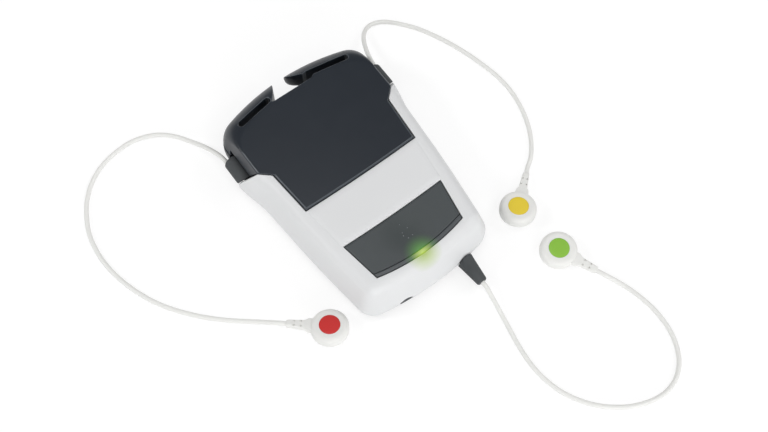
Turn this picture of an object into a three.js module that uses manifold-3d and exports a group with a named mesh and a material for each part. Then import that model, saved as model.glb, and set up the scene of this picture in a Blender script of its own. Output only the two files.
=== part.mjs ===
// A body-worn heart recorder: two drafted shells, a sliding battery cover whose top end carries
// the two strap hooks, a wide event key, and three fixed leads that end in snap clips.
// Millimetres. The origin is on the back face, under the middle of the body; +X to the wearer's
// side of the face, +Y up to the strap hooks, +Z out of the face.
import * as THREE from 'three';
import { mergeVertices } from 'three/addons/utils/BufferGeometryUtils.js';
import Module from 'manifold-3d';

const wasm = await Module();
wasm.setup();

// Clearances, walls and floors
const fitGap = 0.3;
const slideGap = 0.35;
const wall = 1.7;
const backFloor = 1.8;
const bulkheadThickness = 1.6;

// AA cell and its contacts, which set the body's width and thickness
const cellRadius = 7.25;
const cellLength = 50.5;
const cellNubLength = 1;
const cellNubRadius = 2.7;
const cellRoom = 0.7;
const contactThickness = 0.4;
const springLength = 1.3;
const springWire = 0.5;
const springTurns = 3;
const springOuterRadius = 5;
const springInnerRadius = 1.9;
const bayWidth = cellLength + springLength + 2 * contactThickness + 4 * fitGap;
const bayHalfWidth = bayWidth / 2;
const bayDepth = 2 * (cellRadius + cellRoom);
const cellPlusEndX = bayHalfWidth - 2 * fitGap - contactThickness;

// Rubber sleeves and boot, and the necks that hold them in the walls
const sleeveRadius = 3.3;
const sleeveChamfer = 0.8;
const neckRadius = 2.1;
const neckLength = 4.5;
const bootRootRadius = 3.1;
const bootTipRadius = 1.95;
const bootLength = 9.5;
const plugRadius = 2.4;
const plugZ = 3.6;

// Body: overall sizes and the heights of its seams
const bodyLength = 94;
const halfLength = bodyLength / 2;
const bayEndWall = 0.8;
const shoulderHalfWidth = bayHalfWidth + bayEndWall + 2 * sleeveRadius;
const shoulderStep = 3;
const coverHalfWidth = shoulderHalfWidth - shoulderStep;
const waistNarrowing = 3.1;
const footNarrowing = 7.3;
const waistHalfWidth = shoulderHalfWidth - waistNarrowing;
const footHalfWidth = shoulderHalfWidth - footNarrowing;
const coverFace = backFloor + bayDepth + wall;
const faceStep = 0.4;
const panelFace = coverFace - faceStep;
const seamHeight = 6;
const seamStep = 2.5;
const coverSeamHeight = seamHeight + seamStep;
const draftDegrees = 14.6;
const coverDraftDegrees = 11.3;
const backRoundWidth = 3;
const backRoundHeight = 4.2;
const skirtThickness = 0.7;
const skirtLow = 2.4;
const lapGap = 0.25;
const seamChamfer = 0.3;

// Body: plan outline
const hookRoom = 13.6;
const bayTopY = halfLength - hookRoom;
const bayFootY = bayTopY - bayDepth;
const footArcRadius = 111;
const footCornerRadius = 7;
const sideLeanDegrees = 5;
const shoulderY = bayFootY + 6.5;
const waistY = shoulderY - 20;
const coverCornerRadius = 6;
const coverCornerSpread = 0.2;
const topArcRadius = 82;
const topEdgeY = halfLength - 0.8;
const noseRadius = coverFace / 2;

// Cover tongue and the shoulders beside it
const tongueLength = 17.4;
const tongueTaper = 1.5;
const tongueThickness = 2.1;
const shoulderFaceWidth = 9.8;
const tongueTopHalfWidth = shoulderHalfWidth - shoulderFaceWidth;
const tongueFootHalfWidth = tongueTopHalfWidth - tongueTaper;
const shoulderJoinX = tongueTopHalfWidth + 4.1;
const shoulderJoinY = bayFootY - fitGap;
const tongueTopY = shoulderJoinY - 3.7;
const tongueFootY = tongueTopY - tongueLength;
const tongueSag = 0.4;
const tongueEdge = 0.4;
const panelEdgeRadius = 4;
const coverEdgeRadius = 0.8;
const shoulderSlope = 0.5;
const deckTop = coverFace - tongueThickness - fitGap;
const deckThickness = 1.6;

// Strap hooks
const slotWidth = 2.6;
const slotCorner = 0.7;
const slotInnerX = 9;
const hookArmWidth = 7.8;
const slotOuterX = coverHalfWidth - hookArmWidth;
const hookDepth = 8.2;
const slotInnerY = halfLength - hookDepth;
const slotTiltDegrees = 9.8;
const hookFootY = slotInnerY - 2;
const gapRound = 1.6;
const gapRoundHeight = 7;
const noseLow = 9.9;
const noseLip = 0.7;
const noseLipHeight = 2;
const noseRound = 4.2;
const noseRoundShare = 0.6;
const noseRootX = 9.2;
const noseRootSlope = 0.3;

// Event key, its window and the light guide
const windowMargin = 9.25;
const windowLength = 15.75;
const windowSideMargin = 6.35;
const windowTaper = 2.55;
const windowFootY = windowMargin - halfLength;
const windowTopY = windowFootY + windowLength;
const windowTopHalfWidth = footHalfWidth - windowSideMargin;
const windowFootHalfWidth = windowTopHalfWidth - windowTaper;
const windowTopSag = 0.4;
const windowFootSag = 2.2;
const guideWidth = 1.3;
const keyTop = panelFace - fitGap;
const keyThickness = 1.7;
const keyPostRadius = 1.8;

// Circuit board and what stands on it
const boardRise = 1.8;
const boardTop = seamHeight + boardRise;
const boardThickness = 1.2;
const boardSideRoom = 7.2;
const boardHalfWidth = waistHalfWidth - boardSideRoom;
const boardTopY = bayFootY - bulkheadThickness - slideGap - 0.95;
const boardFootY = 4 - halfLength;
const boardTabHalfWidth = footHalfWidth - 11;
const boardTabLength = 6.4;
const boardTabY = boardFootY + boardTabLength;
const solderGap = 0.05;
const chipColumnX = 11;
const chipEdge = 0.15;
const switchY = (windowTopY + windowFootY) / 2;
const switchSide = 6;
const switchHeight = 3.4;
const stemRadius = 1.6;
const stemRise = 0.5;
const stemHeight = 0.8;
const ledHeight = 1.4;
const ledY = windowFootY - windowFootSag + fitGap + guideWidth / 2;
const socketHalfWidth = 3.8;
const socketDepth = 5.5;

// Screws
const bossRadius = 2.6;
const screwRadius = 1.15;
const screwHeadRadius = 2.2;
const screwHeadHeight = 1.5;
const screwRecessDepth = 2;
const screwTip = boardTop + 5.2;
const upperScrew = new THREE.Vector2(waistHalfWidth - 9.7, boardTopY - 3.4);
const lowerScrew = new THREE.Vector2(waistHalfWidth - 8.9, windowTopY + 8);
const boardScrewYs = [boardTopY - 5.1, windowTopY + 5];
const boardScrewHeadRadius = 1.9;

// Lead exits: where the sleeves, the boot and the plug stand
const sleeveX = shoulderHalfWidth - sleeveRadius;
const sleeveZ = seamHeight;
const sleeveEndY = bayTopY - 0.7;
const neckX = shoulderHalfWidth - wall - neckRadius - 3 * fitGap;
const scallopRadius = sleeveRadius + 2;
const scallopX = sleeveX + 1.4;
const scallopZ = sleeveZ + 1;
const scallopEndY = sleeveEndY + 3 * fitGap;
const scallopWall = 0.5;
const bootX = footHalfWidth - 13.8;
const bootZ = 4;
const bootTipY = -halfLength - bootLength;
const plugX = 1.3 - bootX;

// Leads and clips
const leadDiameter = 1.7;
const leadRest = leadDiameter / 2 + 0.1;
const innerLeadDiameter = 1.2;
const leadSides = 8;
const leadExitX = sleeveX + 1.9;
const leadExitY = sleeveEndY + 0.4;
const clipRadius = 6.65;
const clipHeight = 4.3;
const clipBossRadius = 4;
const clipBossHeight = 0.6;
const clipNeckLength = 8.4;
const clipNeckZ = 2.2;
const clipNeckWidth = 3.4;
const clipNeckEndWidth = 2.3;
const discRadius = 3.65;
const discThickness = 0.5;
const socketRadius = 3.3;
const socketBore = 1.95;
const socketHeight = 2.9;

// Where the three leads leave, and each clip's place as seen from its lead's exit
const leadExits = {
  red: new THREE.Vector3(-leadExitX, leadExitY, sleeveZ),
  yellow: new THREE.Vector3(leadExitX, leadExitY, sleeveZ),
  green: new THREE.Vector3(bootX, bootTipY - fitGap, bootZ),
};
const clips = [
  { name: 'red', fromExit: [-5.8, -71.6], turn: 138, lean: 12, leanToward: 53.4 },
  { name: 'yellow', fromExit: [7.4, -75.8], turn: 38.7, lean: 8, leanToward: 53.4 },
  { name: 'green', fromExit: [29, -6], turn: -67.3, lean: 0, leanToward: 0 },
];

// Lead routes to the clips' necks: x and y from the lead's exit, and z where it isn't on the floor
const leadRoutes = {
  red: [
    [0, 0, 6], [-0.5, 3.3, 5.9], [-1.7, 7.5, 5], [-3.2, 11.7, 3.6], [-5.3, 16.3, 2], [-8.5, 21.8],
    [-12.7, 25.9], [-17.7, 28.5], [-23.3, 29.8], [-29.5, 29.5],
    [-36.5, 27.8], [-42.7, 24.3], [-47.5, 19.6], [-50.9, 14.4],
    [-53.5, 8.5], [-54.8, 2.1], [-55, -4.9], [-53.8, -13.1], [-51, -21.9],
    [-47.6, -29], [-43.4, -35.2], [-38.8, -40.8], [-33.8, -45.9],
    [-28.6, -50.5, 1.1], [-23.4, -54.9, 1.6],
  ],
  yellow: [
    [0, 0, 6], [0.5, 3.1, 5.8], [1.8, 7.2, 4.9], [3.3, 10.8, 3.8], [5.1, 13.8, 2.7], [7.3, 16.1, 1.6],
    [9.9, 17.3, 1.1], [12.7, 17.1], [15.7, 15.6], [18.3, 13.3], [21.5, 9.5],
    [24.4, 5.4], [27.3, -0.1], [30, -6.3], [32.4, -13.2], [34.4, -20.8],
    [35.8, -28.1], [36.2, -34.7], [35.6, -40.7], [34.1, -46.7],
    [31.8, -52.5], [28.7, -57.7], [24.5, -62.4, 1.1],
  ],
  green: [
    [0, 0, 4], [-0.1, -2.4, 3.9], [-0.5, -5.6, 3.2], [-0.9, -8.8, 2.4], [-1.4, -12.2, 1.6],
    [-2.1, -16.6, 1.1], [-3.3, -23], [-4.1, -29.6], [-4, -36.8], [-2.2, -44.6],
    [0.8, -50.6], [4.2, -55.2], [8.4, -59.2], [13.6, -62.7], [19.2, -65],
    [24.4, -66], [29.2, -65.5], [33.6, -63.5], [37.2, -60.2],
    [39.8, -55.8], [41.5, -50.6], [42.1, -44.8], [41.7, -38.6],
    [40.5, -32.8], [38.7, -27.6, 1.2],
  ],
};

// Finishes
const slatePlastic = { color: 0x30363c, roughness: 0.42, metalness: 0 };
const whitePlastic = { color: 0xe2e3e6, roughness: 0.4, metalness: 0 };
const smokedPlastic = { color: 0x505456, roughness: 0.35, metalness: 0 };
const guidePlastic = { color: 0x6d7274, roughness: 0.3, metalness: 0 };
const darkRubber = { color: 0x4a4c4e, roughness: 0.75, metalness: 0 };
const leadRubber = { color: 0xe3e2de, roughness: 0.5, metalness: 0 };
const boardGreen = { color: 0x1f5a3a, roughness: 0.5, metalness: 0 };
const chipBlack = { color: 0x17181a, roughness: 0.5, metalness: 0 };
const plainSteel = { color: 0xb9bcc0, roughness: 0.3, metalness: 1 };
const cellWrap = { color: 0x3a4a63, roughness: 0.4, metalness: 0 };
const discColours = { red: 0xc53634, yellow: 0xe2c83c, green: 0x8abe4b };
const ledLens = { color: 0xb9e34a, roughness: 0.2, metalness: 0 };

const holter = new THREE.Group();
const draft = Math.tan(THREE.MathUtils.degToRad(draftDegrees));
const v = (x, y) => new THREE.Vector2(x, y);

function solidOf(geometry) {
  const bare = new THREE.BufferGeometry();
  bare.setAttribute('position', geometry.getAttribute('position').clone());
  if (geometry.index) bare.setIndex(geometry.index.clone());
  const merged = mergeVertices(bare, 1e-5);
  return new wasm.Manifold(new wasm.Mesh({
    numProp: 3,
    vertProperties: new Float32Array(merged.getAttribute('position').array),
    triVerts: new Uint32Array(merged.index.array),
  }));
}

function geometryOf(solid) {
  const mesh = solid.getMesh();
  const geometry = new THREE.BufferGeometry();
  geometry.setAttribute('position', new THREE.BufferAttribute(new Float32Array(mesh.vertProperties), 3));
  geometry.setIndex(new THREE.BufferAttribute(new Uint32Array(mesh.triVerts), 1));
  geometry.computeVertexNormals();
  return geometry;
}

function addPart(name, shape, finish, placement) {
  const geometry = shape.isBufferGeometry ? shape : geometryOf(shape);
  const mesh = new THREE.Mesh(geometry, new THREE.MeshStandardMaterial(finish));
  mesh.name = name;
  if (placement) mesh.applyMatrix4(placement);
  holter.add(mesh);
}

// An upright prism on a plan outline
function prism(points, low, high) {
  const geometry = new THREE.ExtrudeGeometry(new THREE.Shape(points), {
    depth: high - low, bevelEnabled: false,
  });
  return solidOf(geometry.translate(0, 0, low));
}

function box(x0, x1, y0, y1, z0, z1) {
  const geometry = new THREE.BoxGeometry(x1 - x0, y1 - y0, z1 - z0);
  return solidOf(geometry.translate((x0 + x1) / 2, (y0 + y1) / 2, (z0 + z1) / 2));
}

function post(x, y, radius, low, high, sides = 20) {
  const geometry = new THREE.CylinderGeometry(radius, radius, high - low, sides);
  return solidOf(geometry.rotateX(Math.PI / 2).translate(x, y, (low + high) / 2));
}

// A round bar along Y, or along X
function barY(x, z, radius, y0, y1, sides = 28) {
  const geometry = new THREE.CylinderGeometry(radius, radius, y1 - y0, sides);
  return solidOf(geometry.translate(x, (y0 + y1) / 2, z));
}

function barX(y, z, radius, x0, x1, sides = 28) {
  const geometry = new THREE.CylinderGeometry(radius, radius, x1 - x0, sides);
  return solidOf(geometry.rotateZ(Math.PI / 2).translate((x0 + x1) / 2, y, z));
}

// A revolve about an upright axis, from [radius, height] pairs
function revolve(profile, sides) {
  const points = profile.map(([radius, height]) => v(radius, height));
  return solidOf(new THREE.LatheGeometry(points, sides).rotateX(Math.PI / 2));
}

function arcPoints(cx, cy, radius, from, to, steps) {
  const points = [];
  for (let i = 0; i <= steps; i += 1) {
    const angle = from + ((to - from) * i) / steps;
    points.push(v(cx + radius * Math.cos(angle), cy + radius * Math.sin(angle)));
  }
  return points;
}

// A shallow curved edge between two points at the same height, bulging down by sag
function sagPoints(halfWidth, y, sag, steps) {
  const points = [];
  for (let i = 0; i <= steps; i += 1) {
    const t = -1 + (2 * i) / steps;
    points.push(v(halfWidth * t, y - sag * (1 - t * t)));
  }
  return points;
}

function mirrored(half) {
  const left = half.filter((p) => p.x > 0.001).reverse().map((p) => v(-p.x, p.y));
  return [...half, ...left];
}

// Moves a closed outline inwards along its own normals
function inset(outline, amount) {
  return outline.map((point, i) => {
    const before = outline[(i + outline.length - 1) % outline.length];
    const after = outline[(i + 1) % outline.length];
    const a = v(before.y - point.y, point.x - before.x).normalize();
    const b = v(point.y - after.y, after.x - point.x).normalize();
    const normal = a.add(b).normalize();
    const share = Math.max(0.5, normal.dot(b));
    return v(point.x + (normal.x * amount) / share, point.y + (normal.y * amount) / share);
  });
}

// A closed solid through rings of the same number of points, from the lowest up
function stack(rings) {
  const count = rings[0].points.length;
  const positions = rings.flatMap(({ points, z }) => points.flatMap((p) => [p.x, p.y, z]));
  const faces = [];
  for (let ring = 0; ring < rings.length - 1; ring += 1) {
    for (let i = 0; i < count; i += 1) {
      const a = ring * count + i;
      const b = ring * count + ((i + 1) % count);
      faces.push(a, b, b + count, a, b + count, a + count);
    }
  }
  const top = (rings.length - 1) * count;
  for (const [a, b, c] of THREE.ShapeUtils.triangulateShape([...rings[0].points], [])) faces.push(a, c, b);
  for (const [a, b, c] of THREE.ShapeUtils.triangulateShape([...rings[rings.length - 1].points], [])) {
    faces.push(top + a, top + b, top + c);
  }
  const geometry = new THREE.BufferGeometry();
  geometry.setAttribute('position', new THREE.BufferAttribute(new Float32Array(positions), 3));
  geometry.setIndex(faces);
  return solidOf(geometry);
}

// Rings of one outline, each inset by its own amount
function loft(outline, rings) {
  return stack(rings.map(([amount, z]) => ({ points: inset(outline, amount), z })));
}

const wallInset = (height) => draft * (height - seamHeight);

// How far the round back edge stands in at a height
function backInset(height) {
  const drop = Math.max(0, backRoundHeight - height) / backRoundHeight;
  return backRoundWidth * (1 - Math.sqrt(1 - drop * drop));
}

// Plan outline of the lower body at its widest line, with the flare to the shoulders
function shellOutline() {
  const arcY = footArcRadius - halfLength;
  const cornerX = footHalfWidth - footCornerRadius;
  const reach = footArcRadius - footCornerRadius;
  const cornerY = arcY - Math.sqrt(reach * reach - cornerX * cornerX);
  const turn = Math.atan2(cornerY - arcY, cornerX);
  const lean = -THREE.MathUtils.degToRad(sideLeanDegrees);
  const foot = arcPoints(0, arcY, footArcRadius, -Math.PI / 2, turn, 5);
  const corner = arcPoints(cornerX, cornerY, footCornerRadius, turn, lean, 7);
  const end = corner[corner.length - 1];
  const side = new THREE.SplineCurve([
    end,
    v((end.x + waistHalfWidth) / 2 + 0.4, (end.y + waistY) / 2),
    v(waistHalfWidth, waistY),
    v(waistHalfWidth + 0.22 * (shoulderHalfWidth - waistHalfWidth), waistY + 0.36 * (shoulderY - waistY)),
    v(waistHalfWidth + 0.78 * (shoulderHalfWidth - waistHalfWidth), waistY + 0.74 * (shoulderY - waistY)),
    v(shoulderHalfWidth, shoulderY),
    v(shoulderHalfWidth + 0.1, shoulderY + 8),
  ]).getPoints(14);
  return mirrored([...foot, ...corner.slice(1), ...side.slice(1), v(shoulderHalfWidth, halfLength + 20)]);
}

// How far the upper body's sides stand in at a height: round back edge, draft, round face edge
function sideInset(height) {
  if (height < backRoundHeight) return backInset(height);
  const slant = THREE.MathUtils.degToRad(coverDraftDegrees);
  const sideAt = (z) => Math.max(0, Math.tan(slant) * (z - seamHeight));
  const centreZ = coverFace - coverEdgeRadius;
  const wallZ = centreZ + coverEdgeRadius * Math.sin(slant);
  if (height <= wallZ) return sideAt(height);
  const centreInset = sideAt(wallZ) + coverEdgeRadius * Math.cos(slant);
  return centreInset - Math.sqrt(Math.max(0, coverEdgeRadius ** 2 - (height - centreZ) ** 2));
}

// Plan outline of the upper body at a height: drafted sides, round corners, and a bowed top edge
// that turns over front and back in one full bullnose
function upperRing(z, skin = 0) {
  const drop = noseRadius - Math.sqrt(Math.max(0, noseRadius ** 2 - (z - noseRadius) ** 2)) + skin;
  const arcY = topEdgeY - topArcRadius;
  const arcRadius = topArcRadius - drop;
  const sideX = coverHalfWidth - sideInset(z) - skin;
  const radius = coverCornerRadius + coverCornerSpread * (z - coverSeamHeight) - skin;
  const cornerX = sideX - radius;
  const reach = arcRadius - radius;
  const cornerY = arcY + Math.sqrt(reach * reach - cornerX * cornerX);
  const turn = Math.atan2(cornerY - arcY, cornerX);
  const corner = arcPoints(cornerX, cornerY, radius, 0, turn, 8);
  const top = arcPoints(0, arcY, arcRadius, turn, Math.PI / 2, 6);
  return { points: mirrored([v(sideX, tongueFootY - 8), ...corner, ...top.slice(1)]), z };
}

// Ring heights of the rounded back edge, and of the two top edges
function backRings(top) {
  const rings = [];
  for (let i = 0; i <= 4; i += 1) {
    const angle = (Math.PI / 2) * (i / 4);
    rings.push([backRoundWidth * (1 - Math.sin(angle)), backRoundHeight * (1 - Math.cos(angle))]);
  }
  if (top > seamHeight) rings.push([0, seamHeight]);
  rings.push([Math.max(0, wallInset(top)), top]);
  return rings;
}

// Rings of a drafted wall that turns over a round top edge; skin thins both for an inside face
function topRings(low, face, radius, skin, steps) {
  const slant = THREE.MathUtils.degToRad(draftDegrees);
  const centreZ = face - radius;
  const centreInset = wallInset(centreZ + radius * Math.sin(slant)) + radius * Math.cos(slant);
  const rings = [[wallInset(low) + skin, low]];
  for (let i = 0; i <= steps; i += 1) {
    const angle = slant + ((Math.PI / 2 - slant) * i) / steps;
    rings.push([
      centreInset - (radius - skin) * Math.cos(angle), centreZ + (radius - skin) * Math.sin(angle),
    ]);
  }
  return rings;
}

const panelRings = topRings(seamHeight, panelFace, panelEdgeRadius, 0, 6);
const coverLow = coverSeamHeight + fitGap / 2;
const tailHigh = coverSeamHeight - fitGap / 2;
const coverRings = noseHeights(coverLow + seamChamfer, coverFace, 10).map((height) => upperRing(height));
const tailRings = noseHeights(0, tailHigh - seamChamfer, 8).map((height) => upperRing(height));

// Heights that divide the bullnose of the upper end into equal turns
function noseHeights(low, high, steps) {
  const from = Math.asin((low - noseRadius) / noseRadius);
  const to = Math.asin((high - noseRadius) / noseRadius);
  return Array.from({ length: steps + 1 }, (_, i) => (
    i === steps ? high : noseRadius * (1 + Math.sin(from + ((to - from) * i) / steps))
  ));
}

function innerRings(thickness, low, high) {
  return [
    [Math.max(0, wallInset(low)) + thickness, low],
    [Math.max(0, wallInset(high)) + thickness, high],
  ];
}

// The space that belongs to the cover: its tongue, the room behind the two shoulders, the cell bay
function coverRegion(grow, tongueLow) {
  const foot = sagPoints(tongueFootHalfWidth + grow, tongueFootY - grow, tongueSag, 8);
  const tongue = [
    ...foot,
    v(tongueTopHalfWidth + grow, tongueTopY),
    v(tongueTopHalfWidth + grow, halfLength + 30),
    v(-tongueTopHalfWidth - grow, halfLength + 30),
    v(-tongueTopHalfWidth - grow, tongueTopY),
  ];
  let region = loft(tongue, [
    [0, tongueLow], [0, coverFace - tongueEdge], [tongueEdge, coverFace], [tongueEdge, coverFace + 4],
  ]);
  const bayHalf = tongueTopHalfWidth + grow;
  region = region.add(box(-bayHalf, bayHalf, bayFootY - grow, halfLength + 30, -2, coverFace + 4));
  for (const side of [-1, 1]) region = region.add(shoulderRegion(side, grow));
  return region;
}

// The room behind one shoulder, whose boundary leans back towards the face
function shoulderRegion(side, grow) {
  const inner = tongueTopHalfWidth - 0.5;
  const slope = (shoulderJoinY - tongueTopY) / (shoulderJoinX - tongueTopHalfWidth);
  const points = [
    v(inner, tongueTopY - 0.5 * slope - grow),
    v(shoulderJoinX, shoulderJoinY - grow),
    v(shoulderHalfWidth + 12, shoulderJoinY - grow),
    v(shoulderHalfWidth + 12, halfLength + 30),
    v(inner, halfLength + 30),
  ].map((p) => v(side * p.x, p.y));
  const ordered = side > 0 ? points : points.reverse();
  const geometry = new THREE.ExtrudeGeometry(new THREE.Shape(ordered), {
    depth: coverFace + 6, bevelEnabled: false,
  });
  const lean = new THREE.Matrix4().set(
    1, 0, 0, 0,
    0, 1, -shoulderSlope, shoulderSlope * panelFace,
    0, 0, 1, 0,
    0, 0, 0, 1,
  );
  return solidOf(geometry.translate(0, 0, -2).applyMatrix4(lean));
}

// One strap slot through both shells; the right one runs on into the strap gap
function strapSlot(side) {
  const innerX = side < 0 ? slotInnerX : slotInnerX - 2.4;
  const tilt = Math.tan(THREE.MathUtils.degToRad(slotTiltDegrees));
  const yAt = (x) => slotInnerY - tilt * (x - slotInnerX);
  const along = v(slotOuterX - innerX, yAt(slotOuterX) - yAt(innerX)).normalize();
  const out = v(-along.y, along.x).multiplyScalar(slotWidth / 2);
  const corner = slotCorner;
  const ends = [v(innerX, yAt(innerX)), v(slotOuterX, yAt(slotOuterX))];
  const [a, b] = ends;
  const cut = along.clone().multiplyScalar(corner);
  const near = out.clone().multiplyScalar(1 - corner / (slotWidth / 2));
  const points = [
    a.clone().sub(near), a.clone().add(cut).sub(out), b.clone().sub(cut).sub(out), b.clone().sub(near),
    b.clone().add(near), b.clone().sub(cut).add(out), a.clone().add(cut).add(out), a.clone().add(near),
  ].map((p) => v(side * p.x, p.y));
  return prism(side > 0 ? points : points.reverse(), -2, coverFace + 4);
}

// The gap between the hooks that the strap goes in by: a bowed cut on the left arm, and on the
// right arm a thin round nose with a small barb
function strapGap() {
  const fromTop = (x, down) => v(x, halfLength - down);
  const leftEdge = new THREE.QuadraticBezierCurve(
    fromTop(-3.5, 0.2), fromTop(-5.2, 6), fromTop(-8.9, 9.8),
  );
  const nose = new THREE.SplineCurve([
    fromTop(6.2, 7.1), fromTop(4, 6), fromTop(2.7, 5.1), fromTop(1.7, 4),
    fromTop(1.15, 2.7), fromTop(1.2, 1.6), fromTop(1.7, 0.7), fromTop(2.9, -0.4),
  ]);
  const spine = fromTop(6.5, 3.7);
  const left = [fromTop(-3.2, -9), ...leftEdge.getPoints(8), v(-8.6, hookFootY + 0.1), v(-7.9, hookFootY)];
  const right = [...nose.getPoints(12), fromTop(2.9, -9)];
  const ring = (z) => {
    const back = Math.min(1, Math.max(0, (gapRoundHeight - z) / gapRoundHeight));
    const lip = Math.min(1, Math.max(0, (noseLow + noseLipHeight - z) / noseLipHeight));
    const face = Math.min(1, Math.max(0, (z - coverFace + noseRound) / noseRound));
    const grow = noseLip * (1 - Math.sqrt(1 - lip * lip))
      + noseRoundShare * noseRound * (1 - Math.sqrt(1 - face * face));
    const shrunk = right.map((p, i) => {
      const share = Math.min(1, i / 3 + 0.1) * grow;
      return p.clone().add(spine.clone().sub(p).normalize().multiplyScalar(share));
    });
    const shift = gapRound * (1 - Math.sqrt(1 - back * back));
    const points = [
      ...left.map((p) => v(p.x - shift, p.y)), v(7.6, hookFootY - 0.2),
      fromTop(noseRootX, 9.5), fromTop(noseRootX, 7.4), fromTop(6.9, 6.7), ...shrunk,
    ];
    return { points, z };
  };
  const gap = stack([
    -1, 0, 1, 3, gapRoundHeight, noseLow, noseLow + 0.6, noseLow + noseLipHeight,
    coverFace - noseRound, coverFace - 2, coverFace - 0.8, coverFace, coverFace + 4,
  ].map(ring));
  const under = (z) => {
    const rootX = noseRootX + noseRootSlope * (noseLow - z);
    return { points: [v(-1, hookFootY + 0.8), v(rootX, hookFootY + 0.8), v(rootX, 60), v(-1, 60)], z };
  };
  return gap.add(stack([under(-2), under(noseLow)]));
}

function hookCuts() {
  return strapSlot(-1).add(strapSlot(1)).add(strapGap());
}

// Outline of the key window, and of what fills it
function windowOutline(shrink) {
  const foot = sagPoints(windowFootHalfWidth - shrink, windowFootY + shrink, windowFootSag, 12);
  const top = sagPoints(windowTopHalfWidth - shrink, windowTopY - shrink, windowTopSag, 8).reverse();
  return [...foot, ...top];
}

function keyOutline() {
  const footY = windowFootY + guideWidth + 2 * fitGap;
  const share = (windowTopY - footY) / (windowTopY - windowFootY);
  const footHalf = windowTopHalfWidth - share * (windowTopHalfWidth - windowFootHalfWidth);
  const foot = sagPoints(footHalf - fitGap, footY, windowFootSag, 12);
  const top = sagPoints(windowTopHalfWidth - fitGap, windowTopY - fitGap, windowTopSag, 8).reverse();
  return [...foot, ...top];
}

const shellPlan = shellOutline();
const pcbBottom = boardTop - boardThickness;
const stemLow = boardTop + solderGap + switchHeight + stemRise;
const cellY = bayFootY + bayDepth / 2;
const cellZ = backFloor + fitGap + cellRadius;
const bossPlaces = [];
for (const side of [-1, 1]) {
  for (const place of [upperScrew, lowerScrew]) bossPlaces.push(v(side * place.x, place.y));
}

function sideBars(x, radius, y0, y1) {
  return barY(-x, sleeveZ, radius, y0, y1).add(barY(x, sleeveZ, radius, y0, y1));
}

function footHoles() {
  const boot = barY(bootX, bootZ, neckRadius + fitGap, -halfLength - 4, -halfLength + 5);
  return boot.add(barY(plugX, plugZ, plugRadius + fitGap, -halfLength - 4, -halfLength + 3.9));
}

// The room inside the front shell's skirt, which laps over the tray's wall
function lapInside(amount) {
  return loft(shellPlan, [
    [backRoundWidth, -1], [backRoundWidth, 0], [amount, 1.3], [amount, seamHeight + 1],
  ]);
}

// Rear housing: the tray, its cell bay, four screw posts, two board posts and the hooks' lower halves
function rearHousing() {
  const lowTop = seamHeight - fitGap;
  const lapped = lapInside(skirtThickness + lapGap);
  const lap = box(-60, 60, -60, shoulderY - fitGap, skirtLow - fitGap, seamHeight).subtract(lapped);
  const tray = loft(shellPlan, backRings(lowTop))
    .intersect(box(-60, 60, -60, shoulderY - fitGap, -1, lowTop))
    .subtract(lap);
  const upper = stack([...tailRings, upperRing(tailHigh, seamChamfer)]);
  const tail = upper.intersect(box(-60, 60, shoulderY - fitGap, 60, -1, tailHigh));
  const floorStep = upper.intersect(lapped).intersect(box(-60, 60, shoulderY - 4, shoulderY, -1, lowTop));
  const hollow = loft(shellPlan, innerRings(wall, backFloor, coverFace));
  const bayWallY = bayFootY - bulkheadThickness;
  let body = tray.add(tail).add(floorStep)
    .subtract(hollow.intersect(box(-60, 60, -60, bayWallY, 0, 30)))
    .subtract(box(-bayHalfWidth, bayHalfWidth, bayFootY, bayTopY, backFloor, 30));
  for (const side of [-1, 1]) {
    const [inner, outer] = [side * (bayHalfWidth + 1.1), side * (shoulderHalfWidth - wall)];
    const corridor = box(
      Math.min(inner, outer), Math.max(inner, outer), bayWallY - 1, shoulderY - 2, backFloor, 30,
    );
    body = body.subtract(hollow.intersect(corridor));
  }
  for (const place of bossPlaces) body = body.add(post(place.x, place.y, bossRadius, 0.5, lowTop));
  for (const y of boardScrewYs) body = body.add(post(0, y, 2.2, 0.5, pcbBottom - fitGap));
  for (const place of bossPlaces) {
    body = body.subtract(post(place.x, place.y, screwHeadRadius + fitGap, -1, screwRecessDepth));
    body = body.subtract(post(place.x, place.y, screwRadius + fitGap, 0, 20));
  }
  for (const y of boardScrewYs) body = body.subtract(post(0, y, 1.1, pcbBottom - 3.6, 20));
  return body
    .subtract(sideBars(neckX, neckRadius + fitGap, shoulderY - 8, shoulderY + 2))
    .subtract(sideBars(sleeveX, sleeveRadius + fitGap, shoulderY - fitGap - 0.01, sleeveEndY + 2 * fitGap))
    .subtract(footHoles())
    .subtract(hookCuts());
}

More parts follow.
